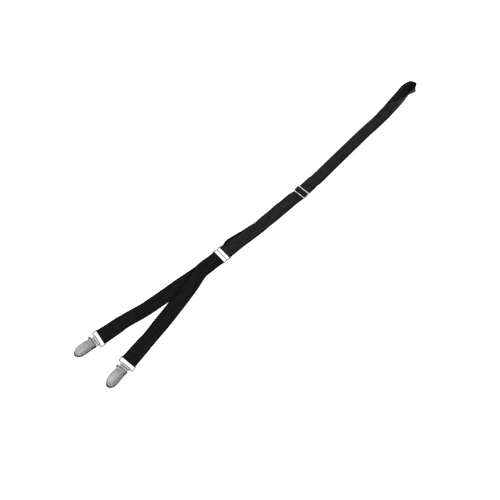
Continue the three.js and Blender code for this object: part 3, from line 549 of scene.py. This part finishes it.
def wovenElastic(name, dark, light):
    material, shader, add, join = newMaterial(name)
    calc = lambda operation, a, b=0.0: add("Math", {"operation": operation}, {0: a, 1: b}).outputs[0]
    uv = add("UVMap", {"uv_map": "weave"}).outputs[0]
    split = add("SeparateXYZ", None, {0: uv})
    across, along = split.outputs[0], split.outputs[1]
    ribs = calc("SINE", calc("MULTIPLY", across, 2 * math.pi / weave["rib"]))
    phase = calc("MULTIPLY", calc("SIGN", ribs), math.pi / 2)
    weft = calc("SINE", calc("ADD", calc("MULTIPLY", along, 2 * math.pi / weave["weft"]), phase))
    grain = add("TexNoise", None, {"Vector": uv, "Scale": 2.2, "Detail": 3.0, "Roughness": 0.6}).outputs[0]
    height = calc("ADD", calc("MULTIPLY", calc("ABSOLUTE", ribs), 0.55), calc("MULTIPLY", weft, 0.3))
    height = calc("ADD", height, calc("MULTIPLY", grain, 0.35))
    join(bumped(add, height, 0.75, weave["relief"] * mm), "Normal")
    join(ranged(add, height, 0.0, 1.0, 0.95, 0.78), "Roughness")
    # Tone: long patches, the wider cords, and painted shade that turns both edges black
    drawn = add("Mapping", None, {0: uv, 3: (1.0, 0.16, 1.0)}).outputs[0]
    streaks = {"Vector": drawn, "Scale": 0.32, "Detail": 5.0, "Roughness": 0.72}
    patches = add("TexNoise", None, streaks).outputs[0]
    cords = calc("SINE", calc("MULTIPLY", across, 2 * math.pi / weave["cord"]))
    tone = calc("ADD", calc("MULTIPLY", height, 0.4), calc("MULTIPLY", patches, 1.35))
    tone = ranged(add, calc("ADD", tone, calc("MULTIPLY", cords, 0.19)), 0.55, 1.3, 0.05, 1.0)
    offMiddle = calc("ABSOLUTE", calc("SUBTRACT", calc("DIVIDE", across, strap["width"]), 0.5))
    paintedEdgeShade = ranged(add, offMiddle, weave["edgeShadeFrom"], weave["edgeShadeTo"], 1.0, 0.04)
    join(blended(add, calc("MULTIPLY", tone, paintedEdgeShade), (dark, light)), "Base Color")
    socket(shader, "Sheen Weight", 0.02)
    socket(shader, "Sheen Roughness", 0.45)
    socket(shader, "Specular IOR Level", 0.06)
    return material


# Painted shade: faces turned up keep the full colour and faces turned to the side are mixed towards a dark
# shade colour; "upward" is each corner's normal Z
def paintedFlankShade(add, colour, least, full, shadeColour):
    upward = add("Attribute", {"attribute_name": "upward"}).outputs["Fac"]
    litShare = ranged(add, upward, 0.05, full, least, 1.0)
    return add("Mix", {"data_type": "RGBA"}, {0: litShare, 6: linear(shadeColour), 7: colour}).outputs[2]


def markUpward(mesh):
    values = [normal.vector.z for normal in mesh.corner_normals]
    mesh.attributes.new("upward", "FLOAT", "CORNER").data.foreach_set("value", values)


# Bright plating on drawn wire: cloudy wear over a very fine grain
def platedWire(name, colours, rough):
    material, shader, add, join = newMaterial(name)
    cloud = noiseOver(add, 260.0, 4.0)
    join(ranged(add, cloud, 0.3, 0.75, rough * 0.75, rough * 1.5), "Roughness")
    # painted shade: the wire's sides are mixed towards dark grey, while its top keeps the plating's colour
    join(paintedFlankShade(add, blended(add, cloud, colours), 0.05, 0.7, "2e2e30"), "Base Color")
    join(bumped(add, noiseOver(add, 2400.0, 2.0), 0.05, 0.01 * mm), "Normal")
    socket(shader, "Metallic", 1.0)
    return material


# Pressed and tumbled sheet: a fine stipple under the plating
def tumbledSheet(name, colours, rough):
    material, shader, add, join = newMaterial(name)
    cloud = noiseOver(add, 140.0, 5.0, 0.6)
    join(ranged(add, cloud, 0.3, 0.75, rough * 0.8, rough * 1.3), "Roughness")
    # painted shade: the sheet's sides and rims are mixed towards near black, while its upper faces keep the
    # plating's colour
    join(paintedFlankShade(add, blended(add, cloud, colours), 0.0, 0.95, "0c0c0d"), "Base Color")
    join(bumped(add, noiseOver(add, 3200.0, 3.0), 0.25, 0.04 * mm), "Normal")
    socket(shader, "Metallic", 1.0)
    return material


# Steel nearly black with a dull shine: on the hinge pins this black is painted shade, standing in for the
# shade in the hinge ears
def paintedShadeSteel(name, colours):
    material, shader, add, join = newMaterial(name)
    cloud = noiseOver(add, 900.0, 4.0)
    join(ranged(add, cloud, 0.3, 0.7, 0.32, 0.5), "Roughness")
    join(blended(add, cloud, colours), "Base Color")
    join(bumped(add, cloud, 0.2, 0.03 * mm), "Normal")
    socket(shader, "Metallic", 1.0)
    return material


# Moulded plastic: the fine spark grain of its mould
def mouldedPlastic(name, colours):
    material, shader, add, join = newMaterial(name)
    grain = noiseOver(add, 1800.0, 3.0)
    join(ranged(add, grain, 0.3, 0.7, 0.5, 0.68), "Roughness")
    join(blended(add, grain, colours), "Base Color")
    join(bumped(add, grain, 0.3, 0.05 * mm), "Normal")
    socket(shader, "Specular IOR Level", 0.2)
    return material


# Spun thread: short twisted plies across the stitch
def spunThread(name, colours):
    material, shader, add, join = newMaterial(name)
    plies = noiseOver(add, 2600.0, 2.0)
    join(blended(add, plies, colours), "Base Color")
    join(bumped(add, plies, 0.4, 0.04 * mm), "Normal")
    socket(shader, "Roughness", 0.6)
    socket(shader, "Sheen Weight", 0.1)
    return material


materials = {
    "elastic": wovenElastic("black_woven_elastic", "040404", "303030"),
    "legs": wovenElastic("black_woven_elastic_legs", "030303", "1e1e1e"),
    "thread": spunThread("black_polyester_thread", ("08080a", "1c1c1f")),
    "wire": platedWire("nickel_plated_drawn_wire", ("d6d6d8", "c6c6c9"), 0.2),
    "frame": platedWire("nickel_plated_tumbled_wire", ("a0a0a3", "8c8c90"), 0.3),
    "sheet": tumbledSheet("nickel_plated_tumbled_sheet", ("a2a2a4", "8e8e91"), 0.5),
    "neck": tumbledSheet("nickel_plated_stamped_sheet", ("c9c9cb", "b4b4b7"), 0.5),
    # the pins' near black is painted shade for the hinge ears
    "pin": paintedShadeSteel("steel_pin_painted_shade_black", ("0b0b0c", "1a1a1c")),
    "pad": mouldedPlastic("black_injection_moulded_plastic", ("040404", "0e0e0e")),
}
print("materials", len(materials))


def finishPiece(obj, body, slot, *nodeNames):
    markUpward(obj.data)
    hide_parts(*nodeNames)
    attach(obj, body)


shading = {"drawn": 35, "flattened": 32}   # edges sharper than this many degrees stay crisp

def shade(mesh, angle):
    mesh.shade_smooth()
    mesh.set_sharp_from_angle(angle=math.radians(angle))


def meshObject(name, verts, faces, material):
    mesh = bpy.data.meshes.new(name)
    mesh.from_pydata([tuple(v) for v in verts], [], faces)
    mesh.materials.append(material)
    shade(mesh, shading["drawn"])
    return linked(name, mesh)


# Applies an object's modifiers, so that it is a plain mesh
def flattened(obj):
    evaluated = obj.evaluated_get(bpy.context.evaluated_depsgraph_get())
    mesh = bpy.data.meshes.new_from_object(evaluated)
    mesh.name = obj.name
    old = obj.data
    obj.modifiers.clear()
    obj.data = mesh
    bpy.data.meshes.remove(old)
    shade(mesh, shading["flattened"])
    return obj


def strapPiece(rows, material, node):
    obj = strapMesh(node + "_woven", rows)
    obj.data.materials.append(material)
    finishPiece(obj, "stay", "elastic", node)


footLaid, legsLaid = footStrapRows(), legStrapRows()
strapPiece(footLaid, materials["elastic"], "foot_strap")
strapPiece(legsLaid, materials["legs"], "leg_strap")
print("straps")


# Moves a piece drawn in its own frame to its place on the part, in metres
def placed(verts, place, turn, height=0.0, tip=0.0):
    lift = Matrix.Translation((place[0], place[1], height))
    matrix = lift @ Matrix.Rotation(math.radians(turn), 4, "Z") @ Matrix.Rotation(tip, 4, "Y")
    offset = Vector(shift)
    return [(matrix @ Vector(v)) * mm + offset for v in verts]


# Wire: a round section swept along a closed loop in plan
wire = {"sides": 20, "cornerSteps": 12, "dipSteps": 30, "dipShare": 0.7}

def wireCorner(x, y, start):
    steps, radius = wire["cornerSteps"], hardware["corner"]
    angles = [math.radians(start + 90 * i / steps) for i in range(steps + 1)]
    return [(x + radius * math.cos(a), y + radius * math.sin(a)) for a in angles]


def sweptLoop(loop):
    count, sides = len(loop), wire["sides"]
    verts, faces = [], []
    for i, (x, y) in enumerate(loop):
        before, after = loop[i - 1], loop[(i + 1) % count]
        out = np.array([after[1] - before[1], before[0] - after[0]])
        out = out / np.linalg.norm(out)
        for k in range(sides):
            angle = 2 * math.pi * k / sides
            reach = wireRadius * math.cos(angle)
            verts.append((x + out[0] * reach, y + out[1] * reach, -wireRadius * math.sin(angle)))
    for i in range(count):
        a, b = i * sides, (i + 1) % count * sides
        faces += [(a + k, a + (k + 1) % sides, b + (k + 1) % sides, b + k) for k in range(sides)]
    return verts, faces


# A solid of revolution about the Y axis, from (radius, y) pairs that start and end at radius 0
def turned(profile, sides, x=0.0, z=0.0):
    verts, faces, rings = [], [], []
    for radius, y in profile:
        count = sides if radius else 1
        rings.append(list(range(len(verts), len(verts) + count)))
        for k in range(count):
            angle = 2 * math.pi * k / sides
            verts.append((x + radius * math.sin(angle), y, z + radius * math.cos(angle)))
    for a, b in zip(rings, rings[1:]):
        for k in range(sides):
            after = (k + 1) % sides
            if len(a) == 1:
                faces.append((a[0], b[after], b[k]))
            elif len(b) == 1:
                faces.append((a[k], a[after], b[0]))
            else:
                faces.append((a[k], a[after], b[after], b[k]))
    return verts, faces


def joined(*shells):
    verts, faces = [], []
    for shellVerts, shellFaces in shells:
        base = len(verts)
        verts += list(shellVerts)
        faces += [tuple(base + i for i in face) for face in shellFaces]
    return verts, faces


def faceOutwards(obj):
    work = bmesh.new()
    work.from_mesh(obj.data)
    bmesh.ops.recalc_face_normals(work, faces=work.faces)
    work.to_mesh(obj.data)
    work.free()


# A rounded frame with a bar across its middle, its sides drawn in towards the bar
def threeBarWire(spacing, end, notch):
    corner, steps = hardware["corner"], wire["dipSteps"]
    half = (spacing - corner) * wire["dipShare"]
    dip = []
    for i in range(steps + 1):
        x = half * (1 - 2 * i / steps)
        dip.append((x, end - notch * (1 + math.cos(math.pi * x / half)) / 2))
    right, top = spacing - corner, end - corner
    loop = wireCorner(right, top, 0) + dip + wireCorner(-right, top, 90)
    loop += wireCorner(-right, -top, 180) + [(-x, -y) for x, y in dip] + wireCorner(right, -top, 270)
    barEnd = end - notch
    bar = turned([(0, -barEnd), (wireRadius, -barEnd), (wireRadius, barEnd), (0, barEnd)], wire["sides"])
    return joined(sweptLoop(loop), bar)


def bailWire():
    corner = hardware["corner"]
    near, far, side = -corner, corner - hardware["bail"], hardwareHalf - corner
    return sweptLoop(wireCorner(near, side, 0) + wireCorner(far, side, 90)
                     + wireCorner(far, -side, 180) + wireCorner(near, -side, 270))


def wirePiece(node, verts, faces, material):
    obj = meshObject(node + "_wire", verts, faces, materials[material])
    faceOutwards(obj)
    finishPiece(obj, "stay", "plated_wire", node)


bailRise = foldHeight - barrelRadius
bailPlan = math.sqrt(hardware["bail"] ** 2 - bailRise ** 2)

# A clip starts at its barrel, the bail's plan length past the strap's fold
def clipPlace(side):
    bar = bailBarPlace(side)
    barrel = beside(bar, -bailPlan)
    return (barrel["x"], barrel["y"]), bar["turn"] + 180


def makeWires():
    verts, faces = threeBarWire(hardware["ringSpacing"], hardwareHalf, hardware["notch"])
    wirePiece("junction_ring", placed(verts, (0, 0), ringPlace["turn"], foldHeight), faces, "frame")
    sliderHalf = widths["slider"] * strap["width"] / 2 + hardware["side"] + wireRadius
    verts, faces = threeBarWire(sliderSpacing, sliderHalf, 0)
    place, height = (sliderPlace["x"], sliderPlace["y"]), bars["centre"][1]
    wirePiece("slider", placed(verts, place, sliderPlace["turn"], height, -tilt), faces, "wire")
    verts, faces = bailWire()
    tip = math.asin(bailRise / hardware["bail"])
    for side in ("left", "right"):
        place, turn = clipPlace(side)
        wirePiece("bail_" + side, placed(verts, place, turn, barrelRadius, tip), faces, "frame")


makeWires()
print("wires")


# Lever: a pressed shell with a raised panel inside its rim, drawn by its distance from the outline
lever = {
    "hinge": (5.3, 3.6), "reach": 21.4, "halfWidth": 6.8, "height": 7.0, "rim": 2.7,
    "knuckleRadius": 1.6, "knuckleHalf": 5.3, "knuckleEdge": 0.15, "knuckleSides": 40,
    "shoulder": 1.25, "panelInset": 2.05, "panelStep": 0.45,   # from the outline inwards
    "panelStart": 1.0, "panelRun": 2.2, "backRise": 2.0, "crownRun": 6.5, "spineShort": 4.2,
    "rises": {"shoulder": 0.64, "border": 0.04, "panel": 0.2, "crown": 0.12},   # shares of the height
    # reach, half width, crown, rim as shares
    "sections": [
        (0, 0.765, 0.74, 1.35), (0.07, 0.77, 0.82, 1.1), (0.13, 0.89, 0.88, 1.0), (0.25, 0.96, 0.95, 1.0),
        (0.42, 1.0, 1.0, 1.0), (0.57, 1.0, 1.0, 1.0), (0.7, 0.96, 0.97, 1.0), (0.81, 0.87, 0.9, 1.06),
        (0.9, 0.73, 0.82, 1.15), (0.96, 0.55, 0.75, 1.2), (1.0, 0.34, 0.7, 1.22),
    ],
    "tipRound": (0.992, 0.3),
    "columns": 56, "fineSteps": 220, "weld": 1e-7,
    # closer together where the shoulder and the panel's step turn
    "inwards": [0, 0.02, 0.05, 0.09, 0.13, 0.17, 0.21, 0.25, 0.28, 0.31, 0.34, 0.37, 0.4,
                0.45, 0.52, 0.62, 0.74, 0.87, 1.0],
}

# The lever's outline and the spine that its rows run in to, both from one back corner round to the other
def leverOutline(sections):
    hingeX, reach, half = lever["hinge"][0], lever["reach"], lever["halfWidth"]
    knots = [(hingeX + share * reach, width * half) for share, width in sections[:-1, :2]]
    knots += [(hingeX + lever["tipRound"][0] * reach, lever["tipRound"][1] * half), (hingeX + reach, 0.0)]
    knots = [np.array(point) for point in knots]
    steps = lever["fineSteps"]
    fine = np.array([splineAt(knots, k / steps) for k in range(steps + 1)])
    runs = np.concatenate([[0], np.cumsum(np.hypot(*np.diff(fine, axis=0).T))])
    targets = np.linspace(0, runs[-1], lever["columns"] + 1)
    edge = np.array([np.interp(targets, runs, fine[:, k]) for k in range(2)]).T
    edge[-1] = knots[-1]
    spineRun = reach - lever["spineShort"]
    spine = np.array([(hingeX + spineRun * share, 0.0) for share in targets / runs[-1]])
    return np.vstack([edge, (edge * (1, -1))[::-1][1:]]), np.vstack([spine, spine[::-1][1:]])


def distanceTo(outline, x, y):
    away = outline - np.array([x, y])
    step = np.diff(outline, axis=0)
    along = np.clip(-(away[:-1] * step).sum(1) / np.maximum((step ** 2).sum(1), 1e-9), 0, 1)
    return float(np.sqrt(((away[:-1] + step * along[:, None]) ** 2).sum(1)).min())


def leverHeight(sections, outline, x, y):
    inset = distanceTo(outline, x, y)
    fromHinge = x - lever["hinge"][0]
    share = fromHinge / lever["reach"]
    top = np.interp(share, sections[:, 0], sections[:, 2]) * lever["height"]
    rim = np.interp(share, sections[:, 0], sections[:, 3]) * lever["rim"]
    rises = lever["rises"]
    shoulder = min(inset / lever["shoulder"], 1.0)
    rise = rises["shoulder"] * math.sqrt(1 - (1 - shoulder) ** 2)
    rise += rises["border"] * min(inset / lever["panelInset"], 1.0)
    panel = smooth((fromHinge - lever["panelStart"]) / lever["panelRun"])
    stepUp = smooth((inset - lever["panelInset"]) / lever["panelStep"])
    rise += rises["panel"] * (panel * stepUp + (1 - panel) * smooth(inset / lever["backRise"]))
    rise += rises["crown"] * smooth(inset / lever["crownRun"])
    return rim + (top - rim) * rise


def leverShell():
    sections = np.array(lever["sections"])
    outline, spine = leverOutline(sections)
    verts, faces = [], []
    for rimPoint, spinePoint in zip(outline, spine):
        for t in lever["inwards"]:
            x, y = rimPoint * (1 - t) + spinePoint * t
            verts.append((x, y, leverHeight(sections, outline, x, y)))
    rows = len(lever["inwards"])
    for i in range(len(outline) - 1):
        for k in range(rows - 1):
            a, b = i * rows + k, (i + 1) * rows + k
            faces.append((a, a + 1, b + 1, b))
    return verts, faces


def leverKnuckle():
    radius, half, edge = lever["knuckleRadius"], lever["knuckleHalf"], lever["knuckleEdge"]
    profile = [(0, -half), (radius - edge, -half), (radius, edge - half)]
    profile += [(r, -y) for r, y in reversed(profile)]
    return turned(profile, lever["knuckleSides"], *lever["hinge"])


# Welds a shell's seams, faces it upwards and gives it the sheet's thickness below
def solidSheet(obj):
    work = bmesh.new()
    work.from_mesh(obj.data)
    bmesh.ops.remove_doubles(work, verts=work.verts, dist=lever["weld"])
    bmesh.ops.dissolve_degenerate(work, edges=work.edges, dist=lever["weld"])
    bmesh.ops.recalc_face_normals(work, faces=work.faces)
    if sum(face.normal.z * face.calc_area() for face in work.faces) < 0:
        bmesh.ops.reverse_faces(work, faces=work.faces)
    work.to_mesh(obj.data)
    work.free()
    wall = obj.modifiers.new("wall", "SOLIDIFY")
    wall.thickness = sheet * mm
    wall.offset = -1
    return flattened(obj)


def addShell(obj, verts, faces):
    work = bmesh.new()
    work.from_mesh(obj.data)
    made = [work.verts.new(v) for v in verts]
    for face in faces:
        work.faces.new([made[i] for i in face])
    work.to_mesh(obj.data)
    work.free()
    shade(obj.data, shading["flattened"])


def makeLevers():
    shell, knuckle = leverShell(), leverKnuckle()
    for side in ("left", "right"):
        place, turn = clipPlace(side)
        verts = placed(shell[0], place, turn)
        obj = solidSheet(meshObject("lever_%s_pressed" % side, verts, shell[1], materials["sheet"]))
        addShell(obj, placed(knuckle[0], place, turn), knuckle[1])
        finishPiece(obj, "lever_%s_body" % side, "plated_sheet", "lever_" + side)


makeLevers()
print("levers")


# The other clip pieces: copies of the solids with their edges eased, by material, slot and width in mm
eased = {
    "clip_base": ("neck", "plated_sheet", 0.1),
    "jaw_pad": ("pad", "jaw_plastic", 0.16),
    # the pins' near black is painted shade for the hinge ears
    "hinge_pin": ("pin", "blackened_pin", 0.12),
}
easing = {"segments": 2, "fromAngle": 50, "flatWithin": 1, "weld": 1e-6}

def easedPiece(name, material, slot, width):
    mesh = nodes[name].data.copy()
    mesh.materials.clear()
    mesh.materials.append(material)
    work = bmesh.new()
    work.from_mesh(mesh)
    bmesh.ops.remove_doubles(work, verts=work.verts, dist=easing["weld"])
    flat = math.radians(easing["flatWithin"])
    bmesh.ops.dissolve_limit(work, angle_limit=flat, verts=work.verts, edges=work.edges)
    work.to_mesh(mesh)
    work.free()
    obj = linked(name + "_eased", mesh)
    bevel = obj.modifiers.new("ease", "BEVEL")
    bevel.width = width * mm
    bevel.segments = easing["segments"]
    bevel.limit_method = "ANGLE"
    bevel.angle_limit = math.radians(easing["fromAngle"])
    finishPiece(flattened(obj), "stay", slot, name)


for kind, (material, slot, width) in eased.items():
    for side in ("left", "right"):
        easedPiece("%s_%s" % (kind, side), materials[material], slot, width)
print("clips")


# Stitches: Geometry Nodes lay one thread along each seam line
stitch = {
    "pitch": 2.5, "length": 2.0, "thread": 0.34, "proud": 0.02, "wobble": 0.09, "seed": 7,
    "acrossPoints": 14, "clipInset": 0.1, "ringInset": 0.09,   # insets are shares of the strap's width
    "clipFrom": 9.5, "clipTo": 22.0, "ringFrom": 11.0, "ringTo": 23.5,
}

def stitchTree(material):
    tree = bpy.data.node_groups.new("stitch_run", "GeometryNodeTree")
    face = tree.interface
    face.new_socket("Seam", in_out="INPUT", socket_type="NodeSocketGeometry")
    for name in ("Pitch", "Length", "Thread"):
        face.new_socket(name, in_out="INPUT", socket_type="NodeSocketFloat")
    face.new_socket("Seed", in_out="INPUT", socket_type="NodeSocketInt")
    face.new_socket("Stitches", in_out="OUTPUT", socket_type="NodeSocketGeometry")
    add = nodeAdder(tree)
    given = add("NodeGroupInput").outputs
    curve = add("GeometryNodeMeshToCurve", None, {0: given["Seam"]})
    points = add("GeometryNodeCurveToPoints", {"mode": "LENGTH"},
                 {0: curve.outputs[0], "Length": given["Pitch"]})
    size = add("ShaderNodeCombineXYZ", None, {0: given["Length"], 1: given["Thread"], 2: given["Thread"]})
    ball = add("GeometryNodeMeshUVSphere", None, {"Segments": 8, "Rings": 5, "Radius": 0.5})
    thread = add("GeometryNodeTransform", None, {0: ball.outputs[0], "Scale": size.outputs[0]})
    facing = add("FunctionNodeAlignRotationToVector", {"axis": "X"}, {"Vector": points.outputs["Tangent"]})
    wobble = add("FunctionNodeRandomValue", {"data_type": "FLOAT"},
                 {2: -stitch["wobble"], 3: stitch["wobble"], "Seed": given["Seed"]})
    angle = add("ShaderNodeCombineXYZ", None, {2: wobble.outputs[1]})
    twist = add("FunctionNodeEulerToRotation", None, {0: angle.outputs[0]})
    spin = add("FunctionNodeRotateRotation", {"rotation_space": "LOCAL"},
               {0: facing.outputs[0], 1: twist.outputs[0]})
    laid = add("GeometryNodeInstanceOnPoints", None,
               {0: points.outputs[0], "Instance": thread.outputs[0], "Rotation": spin.outputs[0]})
    real = add("GeometryNodeRealizeInstances", None, {0: laid.outputs[0]})
    done = add("GeometryNodeSetMaterial", None, {0: real.outputs[0], "Material": material})
    add("NodeGroupOutput", None, {0: done.outputs[0]})
    return tree


# The top of a strap at a share of its width, in metres
def topOf(row, share, facing):
    point = np.array([np.interp(share, acrossShares, row["points"][:, k]) for k in range(3)])
    normal = row["normals"][0] * facing
    return (point + normal * (halfStrap + stitch["proud"]) + shift / mm) * mm


# A box of stitches: one line along each side and two across
def seamBox(rows, facing, inset):
    spread = np.linspace(inset, 1 - inset, stitch["acrossPoints"])
    lines = [[topOf(row, share, facing) for row in rows] for share in (inset, 1 - inset)]
    lines += [[topOf(row, share, facing) for share in spread] for row in (rows[0], rows[-1])]
    return lines


def seamPiece(name, lines, tree):
    verts, edges = [], []
    for line in lines:
        base = len(verts)
        verts += [tuple(v) for v in line]
        edges += [(base + i, base + i + 1) for i in range(len(line) - 1)]
    mesh = bpy.data.meshes.new(name)
    mesh.from_pydata(verts, edges, [])
    obj = linked(name, mesh)
    sewing = obj.modifiers.new("sewing", "NODES")
    sewing.node_group = tree
    values = {size.capitalize(): stitch[size] * mm for size in ("pitch", "length", "thread")}
    values["Seed"] = stitch["seed"]
    for item in tree.interface.items_tree:
        if item.item_type == "SOCKET" and item.name in values:
            sewing[item.identifier] = values[item.name]
    flattened(obj)
    obj.data.shade_smooth()
    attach(obj, "stay")


# The upper layer's rows between two distances from a place
def upperRows(rows, place, low, high):
    middle = len(acrossShares) // 2
    picked = []
    for row in rows:
        x, y, z = row["points"][middle]
        if low <= math.hypot(x - place["x"], y - place["y"]) <= high and z > layerStep:
            picked.append(row)
    return picked


def makeSeams():
    tree = stitchTree(materials["thread"])
    for side, facing in (("left", -1), ("right", 1)):
        bar = bailBarPlace(side)
        rows = upperRows(legsLaid, bar, stitch["clipFrom"], stitch["clipTo"])
        seamPiece("clip_seam_" + side, seamBox(rows, facing, stitch["clipInset"]), tree)
    bar = {"x": hardware["ringSpacing"], "y": 0.0}
    rows = upperRows(footLaid, bar, stitch["ringFrom"], stitch["ringTo"])
    seamPiece("ring_seam", seamBox(rows, -1, stitch["ringInset"]), tree)


makeSeams()
print("stitches")


# Floor and light: a lit white table, a broad soft key from the upper left and a weak fill, in metres
studio = {
    "floorHalf": 6.0, "floorBelow": 0.00005, "floorGlow": 0.75, "world": 0.9,
    # place, size, power
    "lights": {"key_softbox": ((-0.9, 0.9, 1.7), 1.8, 14), "fill_softbox": ((1.2, -0.8, 1.5), 1.8, 6)},
}

def makeFloor():
    half, z = studio["floorHalf"], -studio["floorBelow"]
    mesh = bpy.data.meshes.new("studio_floor")
    corners = [(-half, -half, z), (half, -half, z), (half, half, z), (-half, half, z)]
    mesh.from_pydata(corners, [], [(0, 1, 2, 3)])
    material, shader, add, join = newMaterial("matt_white_paper")
    socket(shader, "Base Color", (0.7, 0.7, 0.7, 1))
    socket(shader, "Roughness", 0.9)
    socket(shader, "Specular IOR Level", 0.1)
    socket(shader, "Emission Color", (1, 1, 1, 1))
    socket(shader, "Emission Strength", studio["floorGlow"])
    mesh.materials.append(material)
    obj = linked("studio_floor", mesh)


def makeLight(name, place, size, power):
    data = bpy.data.lights.new(name, "AREA")
    data.shape = "DISK"
    data.size = size
    data.energy = power
    obj = linked(name, data)
    obj.location = place
    obj.rotation_mode = "QUATERNION"
    obj.rotation_quaternion = (-Vector(place)).to_track_quat("-Z", "Y")


def makeWorld():
    world = bpy.data.worlds.new("studio_white")
    world.use_nodes = True
    background = world.node_tree.nodes["Background"]
    socket(background, 0, (1, 1, 1, 1))
    socket(background, 1, studio["world"])
    bpy.context.scene.world = world
    bpy.context.scene.view_settings.view_transform = "Standard"   # keeps the paper white


makeFloor()
for name, (place, size, power) in studio["lights"].items():
    makeLight(name, place, size, power)
makeWorld()
print("studio")

print("done")
